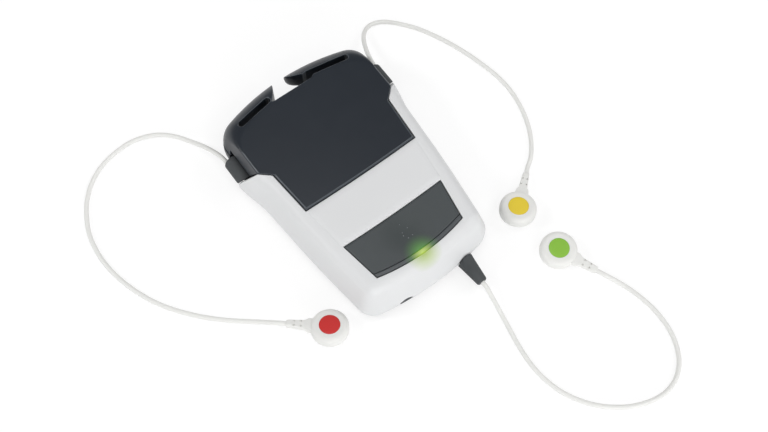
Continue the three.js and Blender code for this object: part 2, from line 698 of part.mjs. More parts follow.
// Front shell: drafted walls, soft top edges, the sunk deck under the cover's tongue, the bulkhead
function frontShell() {
  const outer = loft(shellPlan, panelRings);
  const core = loft(shellPlan, innerRings(wall / 2, seamHeight, panelFace - 0.8));
  const hollow = loft(shellPlan, topRings(seamHeight - 1, panelFace, panelEdgeRadius, wall, 4));
  const bulkheadY = bayFootY - slideGap;
  const deckLow = deckTop - deckThickness;
  let inside = box(-40, 40, tongueFootY - slideGap - wall, bulkheadY, deckLow, deckTop + 1);
  inside = inside.add(box(-40, 40, bulkheadY - bulkheadThickness, bulkheadY, seamHeight, deckTop));
  inside = inside.subtract(sideBars(sleeveX, sleeveRadius + 2, 0, 40));
  for (const place of bossPlaces) {
    inside = inside.add(post(place.x, place.y, bossRadius, seamHeight, panelFace));
  }
  const skirt = loft(shellPlan, [
    ...[skirtLow, skirtLow + 0.8, backRoundHeight].map((z) => [backInset(z), z]), [0, seamHeight],
    [wallInset(seamHeight + fitGap), seamHeight + fitGap],
  ]).subtract(lapInside(skirtThickness)).intersect(box(-60, 60, -60, shoulderY - 2 * fitGap, 0, 30));
  let body = outer.subtract(hollow).add(inside.intersect(core)).add(skirt);
  const collar = prism(windowOutline(-wall), keyTop - keyThickness - 1, panelFace - 0.8);
  body = body.add(collar.intersect(core));
  body = body.subtract(prism(windowOutline(0), 0, panelFace + 4));
  body = body.subtract(coverRegion(slideGap, deckTop));
  for (const place of bossPlaces) {
    body = body.subtract(post(place.x, place.y, screwRadius + 0.1, 0, screwTip + 1));
  }
  return body
    .subtract(sideBars(neckX, neckRadius + fitGap, shoulderY - 8, shoulderY + 6))
    .subtract(footHoles());
}

// Battery cover: tongue, roof, drafted sides with a scallop over each sleeve, the hooks' upper halves
function batteryCover() {
  const outer = stack([upperRing(coverLow, seamChamfer), ...coverRings]);
  const tonguePlate = box(-60, 60, -20, bayFootY - slideGap, -2, deckTop + fitGap);
  let body = outer.intersect(coverRegion(0, deckTop + fitGap)).subtract(tonguePlate.intersect(
    box(-tongueTopHalfWidth, tongueTopHalfWidth, -20, bayFootY, -2, deckTop + fitGap),
  ));
  let room = shoulderRegion(-1, -wall).add(shoulderRegion(1, -wall));
  room = room.add(box(-tongueTopHalfWidth, tongueTopHalfWidth, bayFootY - 1, bayTopY, -2, coverFace));
  const cellTop = cellZ + cellRadius + fitGap;
  room = room.add(box(-bayHalfWidth, bayHalfWidth, tongueTopY - 1, bayTopY, -2, cellTop));
  const scallops = (extra) => barY(-scallopX, scallopZ, scallopRadius + extra, 0, scallopEndY + extra)
    .add(barY(scallopX, scallopZ, scallopRadius + extra, 0, scallopEndY + extra));
  const hollow = stack([coverLow - 1, coverFace - wall].map((height) => upperRing(height, wall)))
    .intersect(room)
    .intersect(box(-60, 60, 0, bayTopY, -2, coverFace - wall))
    .subtract(scallops(scallopWall));
  body = body.subtract(hollow).subtract(scallops(0)).subtract(hookCuts());
  return body;
}

// Event key: a curved-edged plate with the post that bears on the switch stem
function eventKey() {
  const plate = loft(keyOutline(), [
    [0, keyTop - keyThickness], [0, keyTop - 0.3], [0.3, keyTop],
  ]);
  return plate.add(post(0, switchY, keyPostRadius, stemLow + stemHeight + 0.1, keyTop - 0.5));
}

// Light guide: the strip along the key's foot and the pipe that feeds it
function lightGuide() {
  const foot = sagPoints(windowFootHalfWidth - fitGap, windowFootY + fitGap, windowFootSag, 12);
  const backY = windowFootY + guideWidth + fitGap;
  const back = sagPoints(windowFootHalfWidth - fitGap + 0.2, backY, windowFootSag, 12).reverse();
  const strip = loft([...foot, ...back], [
    [0, keyTop - keyThickness], [0, keyTop - 0.3], [0.2, keyTop],
  ]);
  const pipeLow = boardTop + solderGap + ledHeight + fitGap;
  return strip.add(post(0, ledY, 0.6, pipeLow, keyTop - 0.6, 16));
}

function circuitBoard() {
  const half = [
    v(boardTabHalfWidth, boardFootY), v(boardTabHalfWidth, boardTabY),
    v(boardHalfWidth - 1.8, boardTabY), v(boardHalfWidth, 2), v(boardHalfWidth, boardTopY),
  ];
  let board = prism(mirrored(half), pcbBottom, boardTop);
  for (const place of bossPlaces) board = board.subtract(post(place.x, place.y, bossRadius + fitGap, 0, 20));
  for (const y of boardScrewYs) board = board.subtract(post(0, y, 1.15, 0, 20));
  return board;
}

function chip(width, length, height, x, y) {
  const low = boardTop + solderGap;
  const outline = [
    v(x - width / 2, y - length / 2), v(x + width / 2, y - length / 2),
    v(x + width / 2, y + length / 2), v(x - width / 2, y + length / 2),
  ];
  return loft(outline, [[0, low], [0, low + height * 0.7], [chipEdge, low + height]]);
}

function batteryCell() {
  const canEnd = cellPlusEndX - cellNubLength;
  const can = barX(cellY, cellZ, cellRadius, cellPlusEndX - cellLength, canEnd, 32);
  return can.add(barX(cellY, cellZ, cellNubRadius, canEnd - 0.5, cellPlusEndX, 20));
}

// A contact plate that stands in one end of the bay
function contactPlate(side) {
  const outer = side * (bayHalfWidth - fitGap);
  const inner = outer - side * contactThickness;
  const half = springOuterRadius + 0.5;
  return box(
    Math.min(inner, outer), Math.max(inner, outer), cellY - half, cellY + half,
    backFloor + fitGap, cellZ + 4.5,
  );
}

// The flat spiral spring that presses the cell's minus end
function contactSpring() {
  const steps = springTurns * 8;
  const rise = springLength - springWire - solderGap;
  const points = [];
  for (let i = 0; i <= steps; i += 1) {
    const t = i / steps;
    const angle = 2 * Math.PI * springTurns * t;
    const radius = springOuterRadius + (springInnerRadius - springOuterRadius) * t;
    points.push(new THREE.Vector3(
      -bayHalfWidth + fitGap + contactThickness + springWire / 2 + solderGap / 2 + rise * t,
      cellY + radius * Math.cos(angle), cellZ + radius * Math.sin(angle),
    ));
  }
  return tube(points, springWire, 5, steps);
}

// A round tube along a smooth curve through points
function tube(points, diameter, sides, steps) {
  const section = new THREE.Shape();
  const around = Array.from({ length: sides }, (_, i) => {
    const angle = (2 * Math.PI * i) / sides;
    return v((diameter / 2) * Math.cos(angle), (diameter / 2) * Math.sin(angle));
  });
  section.setFromPoints(around);
  const curve = new THREE.CatmullRomCurve3(points, false, 'centripetal');
  return new THREE.ExtrudeGeometry(section, { steps, extrudePath: curve, bevelEnabled: false });
}

// Lead sleeve: a round bar cut by the shoulder's slant, with a neck through the shoulder wall
function leadSleeve(side) {
  const x = side * sleeveX;
  const straight = barY(x, sleeveZ, sleeveRadius, 0, sleeveEndY - sleeveChamfer);
  const end = new THREE.CylinderGeometry(sleeveRadius - sleeveChamfer, sleeveRadius, sleeveChamfer, 28);
  const bar = straight.add(solidOf(end.translate(x, sleeveEndY - sleeveChamfer / 2, sleeveZ)))
    .intersect(shoulderRegion(side, 0))
    .intersect(box(-60, 60, 0, 60, -1, seamHeight).add(box(-60, 60, 0, 60, seamHeight - 0.5, 30)));
  const trimmed = bar.subtract(box(-60, 60, 0, shoulderY, -1, seamHeight - fitGap));
  return trimmed.add(barY(side * neckX, sleeveZ, neckRadius, shoulderY - neckLength, shoulderY + 1));
}

// Tapered boot with its neck through the lower wall and a flange inside
function leadBoot() {
  const rootY = -halfLength + 3.2;
  const profile = [
    v(0, bootTipY), v(bootTipRadius - 0.35, bootTipY), v(bootTipRadius, bootTipY + 0.35),
    v(bootRootRadius - 0.25, -halfLength - 1.4), v(bootRootRadius, -halfLength + 0.4),
    v(bootRootRadius, rootY), v(0, rootY),
  ];
  const lathe = new THREE.LatheGeometry(profile, 24);
  const grown = loft(shellPlan, [
    [backRoundWidth - fitGap, -0.5], ...backRings(seamHeight - 0.01).map(([a, z]) => [a - fitGap, z]),
    ...panelRings.slice(0, 2).map(([a, z]) => [a - fitGap, z]),
  ]);
  const taper = solidOf(lathe.translate(bootX, 0, bootZ)).subtract(grown);
  const neck = barY(bootX, bootZ, neckRadius, -halfLength + 0.6, -halfLength + 3.8, 24);
  const flange = barY(bootX, bootZ, neckRadius, -halfLength + 3.7, -halfLength + 4.8, 24);
  return taper.add(neck.add(flange)).add(barY(bootX, bootZ, neckRadius, -halfLength, -halfLength + 2, 24));
}

function portPlug() {
  const flush = loft(shellPlan, [...backRings(seamHeight - 0.01), ...panelRings.slice(0, 2)].map(
    ([amount, height]) => [amount + 0.12, height],
  ));
  return barY(plugX, plugZ, plugRadius, -halfLength - 4, -halfLength + 3.6, 28).intersect(flush);
}

function housingScrew(place) {
  const headLow = screwRecessDepth - screwHeadHeight;
  const head = post(place.x, place.y, screwHeadRadius, headLow, screwRecessDepth - 0.02, 20);
  return head.add(post(place.x, place.y, screwRadius, screwRecessDepth - 0.5, screwTip, 12));
}

function boardScrew(y) {
  const head = post(0, y, boardScrewHeadRadius, boardTop + 0.02, boardTop + 1.2, 18);
  return head.add(post(0, y, 0.9, pcbBottom - 3.2, boardTop + 0.5, 12));
}

// Clip: a round moulded head with a boss, a disc recess, a socket cavity and a tapered neck
function clipBody() {
  const top = clipHeight;
  const head = revolve([
    [0, -clipBossHeight], [clipBossRadius, -clipBossHeight], [clipBossRadius, 0],
    [clipRadius - 0.7, 0], [clipRadius - 0.15, 0.4], [clipRadius, 1.1], [clipRadius, 2.5],
    [clipRadius - 0.3, 3.4], [clipRadius - 1, top - 0.25], [clipRadius - 1.9, top], [0, top],
  ], 28);
  const half = clipNeckWidth / 2;
  const endHalf = clipNeckEndWidth / 2;
  const start = clipRadius - 1.6;
  const end = clipRadius + clipNeckLength;
  const outline = [
    v(start, -half - 0.9), v(clipRadius + 0.7, -half), v(end - 0.3, -endHalf), v(end, -endHalf + 0.3),
    v(end, endHalf - 0.3), v(end - 0.3, endHalf), v(clipRadius + 0.7, half), v(start, half + 0.9),
  ];
  const neck = loft(outline, [
    [0.45, clipNeckZ - endHalf], [0, clipNeckZ - endHalf + 0.5],
    [0, clipNeckZ + endHalf - 0.5], [0.45, clipNeckZ + endHalf],
  ]);
  let body = head.add(neck);
  for (const along of [3.4, 5.8]) {
    body = body.subtract(post(clipRadius + along, 0, 0.35, clipNeckZ + endHalf - 0.35, top, 8));
  }
  body = body.subtract(post(0, 0, discRadius + 0.15, top - discThickness - 0.1, top + 1, 28));
  const socketTop = socketHeight - clipBossHeight;
  return body.subtract(post(0, 0, socketRadius + fitGap, -clipBossHeight - 1, socketTop, 28));
}

// Snap socket: a turned cup, open below, that takes an electrode's stud
function snapSocket() {
  const low = -clipBossHeight + 0.15;
  const high = socketHeight - clipBossHeight - fitGap;
  return revolve([
    [0, high], [0, high - 0.5], [socketBore - 0.1, high - 0.5], [socketBore + 0.15, high - 1.1],
    [socketBore, low + 0.4], [socketBore + 0.25, low], [socketRadius, low], [socketRadius, high],
    [0, high],
  ], 24);
}

function clipPlacement(clip) {
  const lean = THREE.MathUtils.degToRad(clip.lean);
  const toward = THREE.MathUtils.degToRad(clip.leanToward);
  const axis = new THREE.Vector3(-Math.sin(toward), Math.cos(toward), 0);
  const lift = clipBossHeight * Math.cos(lean) + clipBossRadius * Math.sin(lean) + 0.01;
  const exit = leadExits[clip.name];
  return new THREE.Matrix4()
    .makeTranslation(exit.x + clip.fromExit[0], exit.y + clip.fromExit[1], lift)
    .multiply(new THREE.Matrix4().makeRotationAxis(axis, lean))
    .multiply(new THREE.Matrix4().makeRotationZ(THREE.MathUtils.degToRad(clip.turn)));
}

// Where a lead meets its clip: two points on the neck's own line
function leadEnd(clip) {
  const place = clipPlacement(clip);
  const reach = clipRadius + clipNeckLength + fitGap;
  return [3, 0].map((out) => new THREE.Vector3(reach + out, 0, clipNeckZ).applyMatrix4(place));
}

// Housing
addPart('rear_housing', rearHousing(), slatePlastic);
addPart('front_shell', frontShell(), whitePlastic);
addPart('battery_cover', batteryCover(), slatePlastic);
addPart('event_key', eventKey(), smokedPlastic);
addPart('light_guide', lightGuide(), guidePlastic);
['upper_left', 'lower_left', 'upper_right', 'lower_right'].forEach((where, i) => {
  addPart(`housing_screw_${where}`, housingScrew(bossPlaces[i]), plainSteel);
});

// Electronics
addPart('circuit_board', circuitBoard(), boardGreen);
addPart('processor_chip', chip(9, 9, 1.2, -chipColumnX, -6), chipBlack);
addPart('amplifier_chip', chip(6, 6, 1, chipColumnX, -4), chipBlack);
addPart('memory_chip', chip(10, 7, 1.1, 1 - chipColumnX, boardTopY - 7.2), chipBlack);
addPart('key_switch', chip(switchSide, switchSide, switchHeight, 0, switchY), chipBlack);
addPart('switch_stem', post(0, switchY, stemRadius, stemLow, stemLow + stemHeight), plainSteel);
addPart('status_led', chip(1.6, 1.2, ledHeight, 0, ledY), ledLens);
const dataSocket = box(
  plugX - socketHalfWidth, plugX + socketHalfWidth, boardFootY + fitGap, boardFootY + fitGap + socketDepth,
  3.4, pcbBottom - solderGap,
);
addPart('data_socket', dataSocket, plainSteel);
boardScrewYs.forEach((y, i) => addPart(`board_screw_${['upper', 'lower'][i]}`, boardScrew(y), plainSteel));

// Cell and contacts
addPart('battery_cell', batteryCell(), cellWrap);
addPart('plate_contact', contactPlate(1), plainSteel);
addPart('spring_plate', contactPlate(-1), plainSteel);
addPart('spring_contact', contactSpring(), plainSteel);

// Lead exits
addPart('left_sleeve', leadSleeve(-1), darkRubber);
addPart('right_sleeve', leadSleeve(1), darkRubber);
addPart('lead_boot', leadBoot(), darkRubber);
addPart('port_plug', portPlug(), darkRubber);
const innerRun = (side) => [
  [0, neckLength + fitGap, 0], [0.3, 8, 0], [1, 12.5, 0.2], [2.6, 17, 0.8], [4.6, 20.4, 1.1],
].map(([inward, down, up]) => new THREE.Vector3(side * (neckX - inward), shoulderY - down, sleeveZ + up));
addPart('left_inner_lead', tube(innerRun(-1), innerLeadDiameter, 6, 8), leadRubber);
addPart('right_inner_lead', tube(innerRun(1), innerLeadDiameter, 6, 8), leadRubber);
addPart('lower_inner_lead', tube([
  new THREE.Vector3(bootX, -halfLength + 4.8 + fitGap, bootZ),
  new THREE.Vector3(bootX, -halfLength + 7.5, bootZ + 0.1),
  new THREE.Vector3(bootX + 0.6, -halfLength + 10, bootZ + 0.6),
  new THREE.Vector3(bootX + 1.4, -halfLength + 12, pcbBottom - 0.95),
], innerLeadDiameter, 6, 6), leadRubber);

// Leads, clips, discs and snap sockets
for (const clip of clips) {
  const { name } = clip;
  const exit = leadExits[name];
  const route = leadRoutes[name].map(([x, y, z = leadRest]) => (
    new THREE.Vector3(exit.x + x, exit.y + y, z)
  ));
  addPart(`${name}_lead`, tube([...route, ...leadEnd(clip)], leadDiameter, leadSides, 30), leadRubber);
  const place = clipPlacement(clip);
  addPart(`${name}_clip`, clipBody(), leadRubber, place);
  const discFinish = { color: discColours[name], roughness: 0.45, metalness: 0 };
  const disc = post(0, 0, discRadius, clipHeight - discThickness - 0.05, clipHeight - 0.1, 28);
  addPart(`${name}_disc`, disc, discFinish, place);
  addPart(`${name}_snap`, snapSocket(), plainSteel, place);
}

export default holter;
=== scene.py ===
"""Looks of a body-worn heart recorder with three fixed leads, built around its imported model.

Metres. The origin is on the back face, +Y points to the strap hooks and +Z out of the face.
"""

import math

import bmesh
import bpy
from bpy.props import FloatProperty, FloatVectorProperty, PointerProperty
from mathutils import Matrix, Vector


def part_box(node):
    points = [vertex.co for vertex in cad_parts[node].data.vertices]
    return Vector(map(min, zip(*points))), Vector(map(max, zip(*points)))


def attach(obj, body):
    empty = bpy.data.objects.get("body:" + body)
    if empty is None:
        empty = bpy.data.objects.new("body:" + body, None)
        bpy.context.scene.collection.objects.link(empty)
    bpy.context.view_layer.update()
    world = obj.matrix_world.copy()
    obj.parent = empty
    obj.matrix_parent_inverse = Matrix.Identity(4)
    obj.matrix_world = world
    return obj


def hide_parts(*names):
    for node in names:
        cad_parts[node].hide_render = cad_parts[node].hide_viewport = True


bl_info = {
    "name": "Heart recorder finish",
    "version": (1, 0, 0),
    "blender": (4, 5, 0),
    "location": "3D View > Sidebar > Recorder",
    "description": "Dresses the packed heart recorder in its mouldings, rubber, leads and clips",
    "category": "Object",
}

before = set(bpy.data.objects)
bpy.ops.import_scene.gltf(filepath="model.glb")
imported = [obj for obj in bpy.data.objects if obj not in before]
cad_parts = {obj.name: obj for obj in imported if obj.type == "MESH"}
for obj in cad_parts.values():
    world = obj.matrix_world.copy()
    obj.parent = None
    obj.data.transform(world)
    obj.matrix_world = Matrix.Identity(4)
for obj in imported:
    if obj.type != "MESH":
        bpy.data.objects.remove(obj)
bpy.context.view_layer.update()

MM = 0.001
BODY = "body"
COVER = "cover"
KEY = "key"
CLIP_NAMES = ("red", "yellow", "green")

# Camera, matched to the photographed view
CAMERA_PLACE = (-84.55, -131.18, 365.18)
CAMERA_AIM = (1.4426, -15.31, 0.0)
CAMERA_LENS = 51.56

# Where each lead leaves the recorder, its route over the table, and how its clip lies; a point with
# no height of its own rests on the table
LEAD_REST = 0.95
LEAD_ROUTES = {
    "red": [
        (-32.9, 33.1, 6), (-33.4, 36.4, 5.9), (-34.6, 40.6, 5), (-36.1, 44.8, 3.6), (-38.2, 49.4, 2),
        (-41.4, 54.9), (-45.6, 59), (-50.6, 61.6), (-56.2, 62.9), (-62.4, 62.6), (-69.4, 60.9),
        (-75.6, 57.4), (-80.4, 52.7), (-83.8, 47.5), (-86.4, 41.6), (-87.7, 35.2), (-87.9, 28.2),
        (-86.7, 20), (-83.9, 11.2), (-80.5, 4.1), (-76.3, -2.1), (-71.7, -7.7), (-66.7, -12.8),
        (-61.5, -17.4, 1.1), (-56.3, -21.8, 1.6),
    ],
    "yellow": [
        (32.9, 33.1, 6), (33.4, 36.2, 5.8), (34.7, 40.3, 4.9), (36.2, 43.9, 3.8), (38, 46.9, 2.7),
        (40.2, 49.2, 1.6), (42.8, 50.4, 1.1), (45.6, 50.2), (48.6, 48.7), (51.2, 46.4), (54.4, 42.6),
        (57.3, 38.5), (60.2, 33), (62.9, 26.8), (65.3, 19.9), (67.3, 12.3), (68.7, 5), (69.1, -1.6),
        (68.5, -7.6), (67, -13.6), (64.7, -19.4), (61.6, -24.6), (57.4, -29.3, 1.1),
    ],
    "green": [
        (13.2, -56.8, 4), (13.1, -59.2, 3.9), (12.7, -62.4, 3.2), (12.3, -65.6, 2.4), (11.8, -69, 1.6),
        (11.1, -73.4, 1.1), (9.9, -79.8), (9.1, -86.4), (9.2, -93.6), (11, -101.4), (14, -107.4),
        (17.4, -112), (21.6, -116), (26.8, -119.5), (32.4, -121.8), (37.6, -122.8), (42.4, -122.3),
        (46.8, -120.3), (50.4, -117), (53, -112.6), (54.7, -107.4), (55.3, -101.6), (54.9, -95.4),
        (53.7, -89.6), (51.9, -84.4, 1.2),
    ],
}
CLIP_PLACES = {
    "red": {"x": -38.7, "y": -38.5, "turn": 138, "lean": 12, "toward": 53.4},
    "yellow": {"x": 40.3, "y": -42.7, "turn": 38.7, "lean": 8, "toward": 53.4},
    "green": {"x": 42.2, "y": -62.8, "turn": -67.3, "lean": 0, "toward": 0},
}

# Outlines shared by the key, its light strip and the panel above them
WINDOW_TOP = (20.65, -22.0, 0.4)
WINDOW_FOOT = (18.1, -37.75, 2.2)
STRIP_WIDTH = 1.3
GAP = 0.3
KEY_FACE = 18.7
KEY_THICKNESS = 1.7
KEY_RIM = 0.35
STRIP_RIM = 0.2
LAMP_SPOT = (-0.3, -39.35)
DISH_SPOT = (0.0, -30.0)

# Pools of lamp light, of painted lamp light on the white shell and of painted shade in the key's dish, each
# as reach and falloff
HALO_IN_KEY = (7.0, 1.6)
HALO_IN_STRIP = (7.0, 1.2)
LAMP_IN_STRIP = (4.4, 1.0)
LAMP_IN_LENS = (3.0, 1.0)
PAINTED_SPILL_IN_SHELL = (6.8, 1.05)
PAINTED_SHADE_IN_DISH = (10.0, 0.7)

# Thin plate on the face above the key, its foot and top edges as half width, y and sag
PANEL_FOOT = (21.0, -21.62, 0.4)
PANEL_TOP = (22.9, -4.7, 0.4)
PANEL_FACE = 19.0
PANEL_PROUD = 0.16
PANEL_DEPTH = 0.3
PANEL_RIM = 0.14

# Half outlines of the post under the key and of the pipe under the light strip, and their places
KEY_POST = ((0, 12.8), (1.6, 12.8), (1.8, 13.0), (1.8, 17.3), (0, 17.3))
KEY_POST_Y = -29.875
LIGHT_PIPE = ((0, 9.55), (0.6, 9.55), (0.6, 18.1), (0, 18.1))
LIGHT_PIPE_Y = -39.0

# Touch pips in the key's dish: place on the face and size
PIP_SPOTS = (
    (-1.0, -32.4, 1), (0.8, -32.3, 1), (-1.9, -30.8, 1), (-1.6, -29.7, 0.85), (0.9, -29.2, 0.85),
    (-0.6, -26.8, 0.7),
)

# Screws: outer is the face of the head with the recess, inner the face that clamps
HOUSING_SCREW = {"head_radius": 2.2, "outer": 0.5, "inner": 1.98, "shaft_radius": 1.15, "tip": 13.0}
BOARD_SCREW = {"head_radius": 1.9, "outer": 9.0, "inner": 7.82, "shaft_radius": 0.9, "tip": 3.4}
SCREW_PLACES = {
    "housing": ("upper_left", "lower_left", "upper_right", "lower_right"),
    "board": ("upper", "lower"),
}

# Clips: their air above the table, the snap rim below the head, and the neck, which narrows at its
# steps to the half widths that hold out to each reach
CLIP_AIR = 0.01
SNAP_DROP = 0.6
SNAP_RIM = 4.0
NECK_START = 5.05
NECK_HEIGHT = 2.3
NECK_LEVEL = 2.2
NECK_STEPS = (0.7, 2.0)
NECK_WIDTHS = ((0.0, 2.6), (1.0, 1.75), (3.0, 1.58), (math.inf, 1.15))
NECK_DIMPLES = ((3.2, -0.95), (3.2, 0.95), (5.6, -0.8), (5.6, 0.8))

# A lead starts this far inside its exit and ends in these steps from the neck's end
LEAD_ROOT = 0.9
LEAD_TAIL = (3.3, 0.3, -0.6)

# Stage, in metres: each softbox with its place, diameter and power
SOFTBOXES = (
    ("left_softbox", (-0.6, 0.4, 0.6), 0.2, 2.1),
    ("front_softbox", (-0.3, -0.9, 0.18), 0.8, 5.2),
    ("right_softbox", (0.85, -0.25, 0.75), 0.7, 2.9),
    ("key_softbox", (0.12, -0.66, 0.75), 0.2, 0.6),
    ("top_softbox", (0.0, 0.2, 1.1), 0.4, 1.2),
)
UNDERSIDE_SOFTBOX = ("underside_softbox", (0.0, -0.02, -0.9), 0.12, 2.2)
ROOM_LIGHT = 0.43
FLOOR_RADIUS = 3.0
FLOOR_DROP = 0.00004
# The floor's paper as grey and added glow, to the camera and in gloss; other rays see it plain
PAPER = 0.9
PAPER_SEEN = (0.3, 0.74)
PAPER_IN_GLOSS = (0.7, 0.26)


def srgb(red, green, blue):
    """A screen colour, 0 to 255, as the linear light that shaders take."""
    def linear(value):
        value /= 255
        return value / 12.92 if value <= 0.04045 else ((value + 0.055) / 1.055) ** 2.4
    return (linear(red), linear(green), linear(blue), 1.0)


def grey(level):
    return (level, level, level, 1)


def length_property(name, description, millimetres):
    return FloatProperty(
        name=name, description=description, default=millimetres * MM, min=0, unit="LENGTH", precision=5,
    )


def colour_property(name, description, *screen):
    return FloatVectorProperty(
        name=name, description=description, default=srgb(*screen), size=4, min=0, max=1, subtype="COLOR",
    )


class RecorderSizes(bpy.types.PropertyGroup):
    """Sizes of the finished pieces."""

    lead_diameter: length_property("Lead diameter", "Outside diameter of the three leads", 1.7)
    edge_radius: length_property("Edge radius", "Softening of the mouldings' sharp edges", 0.35)
    rubber_edge: length_property("Rubber edge", "Softening of the rubber pieces' edges", 0.3)
    key_dish: length_property("Key dish", "Depth of the finger dish in the key", 0.35)
    key_dish_radius: length_property("Key dish radius", "Radius of the finger dish", 9)
    pip_radius: length_property("Pip radius", "Radius of each touch pip on the key", 0.2)
    clip_radius: length_property("Clip radius", "Radius of a clip's moulded head", 6.65)
    clip_height: length_property("Clip height", "Height of a clip's moulded head", 4.3)
    disc_radius: length_property("Disc radius", "Radius of a clip's coloured disc", 3.65)
    neck_length: length_property("Neck length", "Length of a clip's neck beyond its head", 8.4)
    spring_wire: length_property("Spring wire", "Wire diameter of the cell's spring", 0.5)


class RecorderColours(bpy.types.PropertyGroup):
    """Colours of the finished pieces."""

    slate: colour_property("Slate plastic", "Battery cover and rear housing", 26, 33, 42)
    # Painted highlight: a lighter slate on the mouldings' rounded edges stands for the light those edges
    # catch
    slate_edge_highlight: colour_property("Slate edge highlight", "Rubbed edges of the slate mouldings", 70, 76, 82)
    white: colour_property("White plastic", "Front shell", 223, 224, 225)
    smoked: colour_property("Smoked plastic", "Event key", 68, 73, 75)
    painted_dish_shade: colour_property("Finger dish shade", "Smoked plastic in the key's dish", 60, 66, 67)
    # Painted shade: a darker smoked colour in the key's finger dish
    pip: colour_property("Touch pips", "Pips in the key's dish", 112, 117, 120)
    strip: colour_property("Light strip", "Unlit ends of the light strip", 78, 82, 85)
    rubber: colour_property("Dark rubber", "Sleeves, boot and plug", 69, 72, 74)
    lead: colour_property("Lead rubber", "Leads and clip bodies", 233, 233, 230)
    red: colour_property("Red disc", "Disc of the red clip", 204, 43, 41)
    yellow: colour_property("Yellow disc", "Disc of the yellow clip", 232, 205, 56)
    green: colour_property("Green disc", "Disc of the green clip", 136, 190, 60)
    lamp: colour_property("Lamp", "Light in the middle of the strip", 165, 148, 76)
    halo: colour_property("Halo", "Light that spreads through the key and the strip", 80, 153, 22)
    # Painted light: the lamp's glow on the white plastic beside it, mixed into the plastic's colour
    painted_spill: colour_property("Painted spill", "Tint of the white plastic beside the lamp", 172, 198, 82)
    steel: colour_property("Nickel", "Screws, contacts and snap sockets", 178, 180, 184)
    cell_wrap: colour_property("Cell wrap", "Plain sleeve of the cell", 52, 66, 88)
    board: colour_property("Board", "Solder mask of the circuit board", 24, 84, 54)
    chip: colour_property("Chip", "Moulded chips and the switch", 26, 27, 29)


def sizes():
    return bpy.context.scene.recorder_sizes


def colours():
    return bpy.context.scene.recorder_colours


# Shader node groups


def new_group(name, inputs, outputs):
    """An empty shader group with its sockets, and its nodes, links, entry and exit."""
    group = bpy.data.node_groups.new(name, "ShaderNodeTree")
    for socket_name, kind, default in inputs:
        socket = group.interface.new_socket(name=socket_name, in_out="INPUT", socket_type=kind)
        socket.default_value = default
    for socket_name, kind in outputs:
        group.interface.new_socket(name=socket_name, in_out="OUTPUT", socket_type=kind)
    entry = group.nodes.new("NodeGroupInput")
    leave = group.nodes.new("NodeGroupOutput")
    return group, group.nodes, group.links, entry, leave


def feed(links, value, socket):
    """Links a varying value to a socket, or writes a fixed one into it."""
    if hasattr(value, "is_output"):
        links.new(value, socket)
    else:
        socket.default_value = value


def noise(nodes, links, vector, scale, detail, roughness=0.5):
    texture = nodes.new("ShaderNodeTexNoise")
    for name, value in (("Vector", vector), ("Scale", scale), ("Detail", detail), ("Roughness", roughness)):
        feed(links, value, texture.inputs[name])
    return texture.outputs["Fac"]


def spread(nodes, links, value, low, high, to_low, to_high):
    """Maps a varying value from one range to another, clamped."""
    node = nodes.new("ShaderNodeMapRange")
    for name, end in (
        ("Value", value), ("From Min", low), ("From Max", high), ("To Min", to_low), ("To Max", to_high),
    ):
        feed(links, end, node.inputs[name])
    return node.outputs["Result"]


def calculated(nodes, links, kind, operation, values):
    node = nodes.new(kind)
    node.operation = operation
    for socket, value in zip(node.inputs, values):
        feed(links, value, socket)
    return node.outputs


def maths(nodes, links, operation, *values):
    return calculated(nodes, links, "ShaderNodeMath", operation, values)["Value"]


def vector_maths(nodes, links, operation, *values, result="Vector"):
    return calculated(nodes, links, "ShaderNodeVectorMath", operation, values)[result]


def mixed(nodes, links, factor, first, second, blend="MIX"):
    """Two colours, mixed or added. The node's sockets share names, so they go by their places."""
    node = nodes.new("ShaderNodeMix")
    node.data_type = "RGBA"
    node.blend_type = blend
    for place, value in ((0, factor), (6, first), (7, second)):
        feed(links, value, node.inputs[place])
    return node.outputs[2]


def moulded_group():
    """Moulded surface: fine spark grain, slow drift of shade, and handling marks in the gloss."""
    group, nodes, links, entry, leave = new_group(
        "Moulded surface",
        [
            ("Colour", "NodeSocketColor", grey(0.5)),
            ("Drift", "NodeSocketFloat", 0.04),
            ("Roughness", "NodeSocketFloat", 0.4),
            ("Handling", "NodeSocketFloat", 0.08),
            ("Grain per metre", "NodeSocketFloat", 6000.0),
        ],
        [("Colour", "NodeSocketColor"), ("Roughness", "NodeSocketFloat"), ("Height", "NodeSocketFloat")],
    )
    place = nodes.new("ShaderNodeTexCoord").outputs["Object"]
    grain = noise(nodes, links, place, entry.outputs["Grain per metre"], detail=3, roughness=0.6)
    slow = noise(nodes, links, place, scale=38, detail=2)
    smudge = noise(nodes, links, place, scale=160, detail=4, roughness=0.62)
    drift = maths(nodes, links, "MULTIPLY", entry.outputs["Drift"], -1.0)
    light = spread(nodes, links, slow, 0.3, 0.7, drift, entry.outputs["Drift"])
    fine = spread(nodes, links, grain, 0.35, 0.65, -0.012, 0.012)
    scale = maths(nodes, links, "ADD", maths(nodes, links, "ADD", light, fine), 1.0)
    tint = vector_maths(nodes, links, "MULTIPLY", entry.outputs["Colour"], scale)
    links.new(tint, leave.inputs["Colour"])
    marks = spread(nodes, links, smudge, 0.38, 0.68, 0.0, entry.outputs["Handling"])
    links.new(maths(nodes, links, "ADD", entry.outputs["Roughness"], marks), leave.inputs["Roughness"])
    links.new(grain, leave.inputs["Height"])
    return group


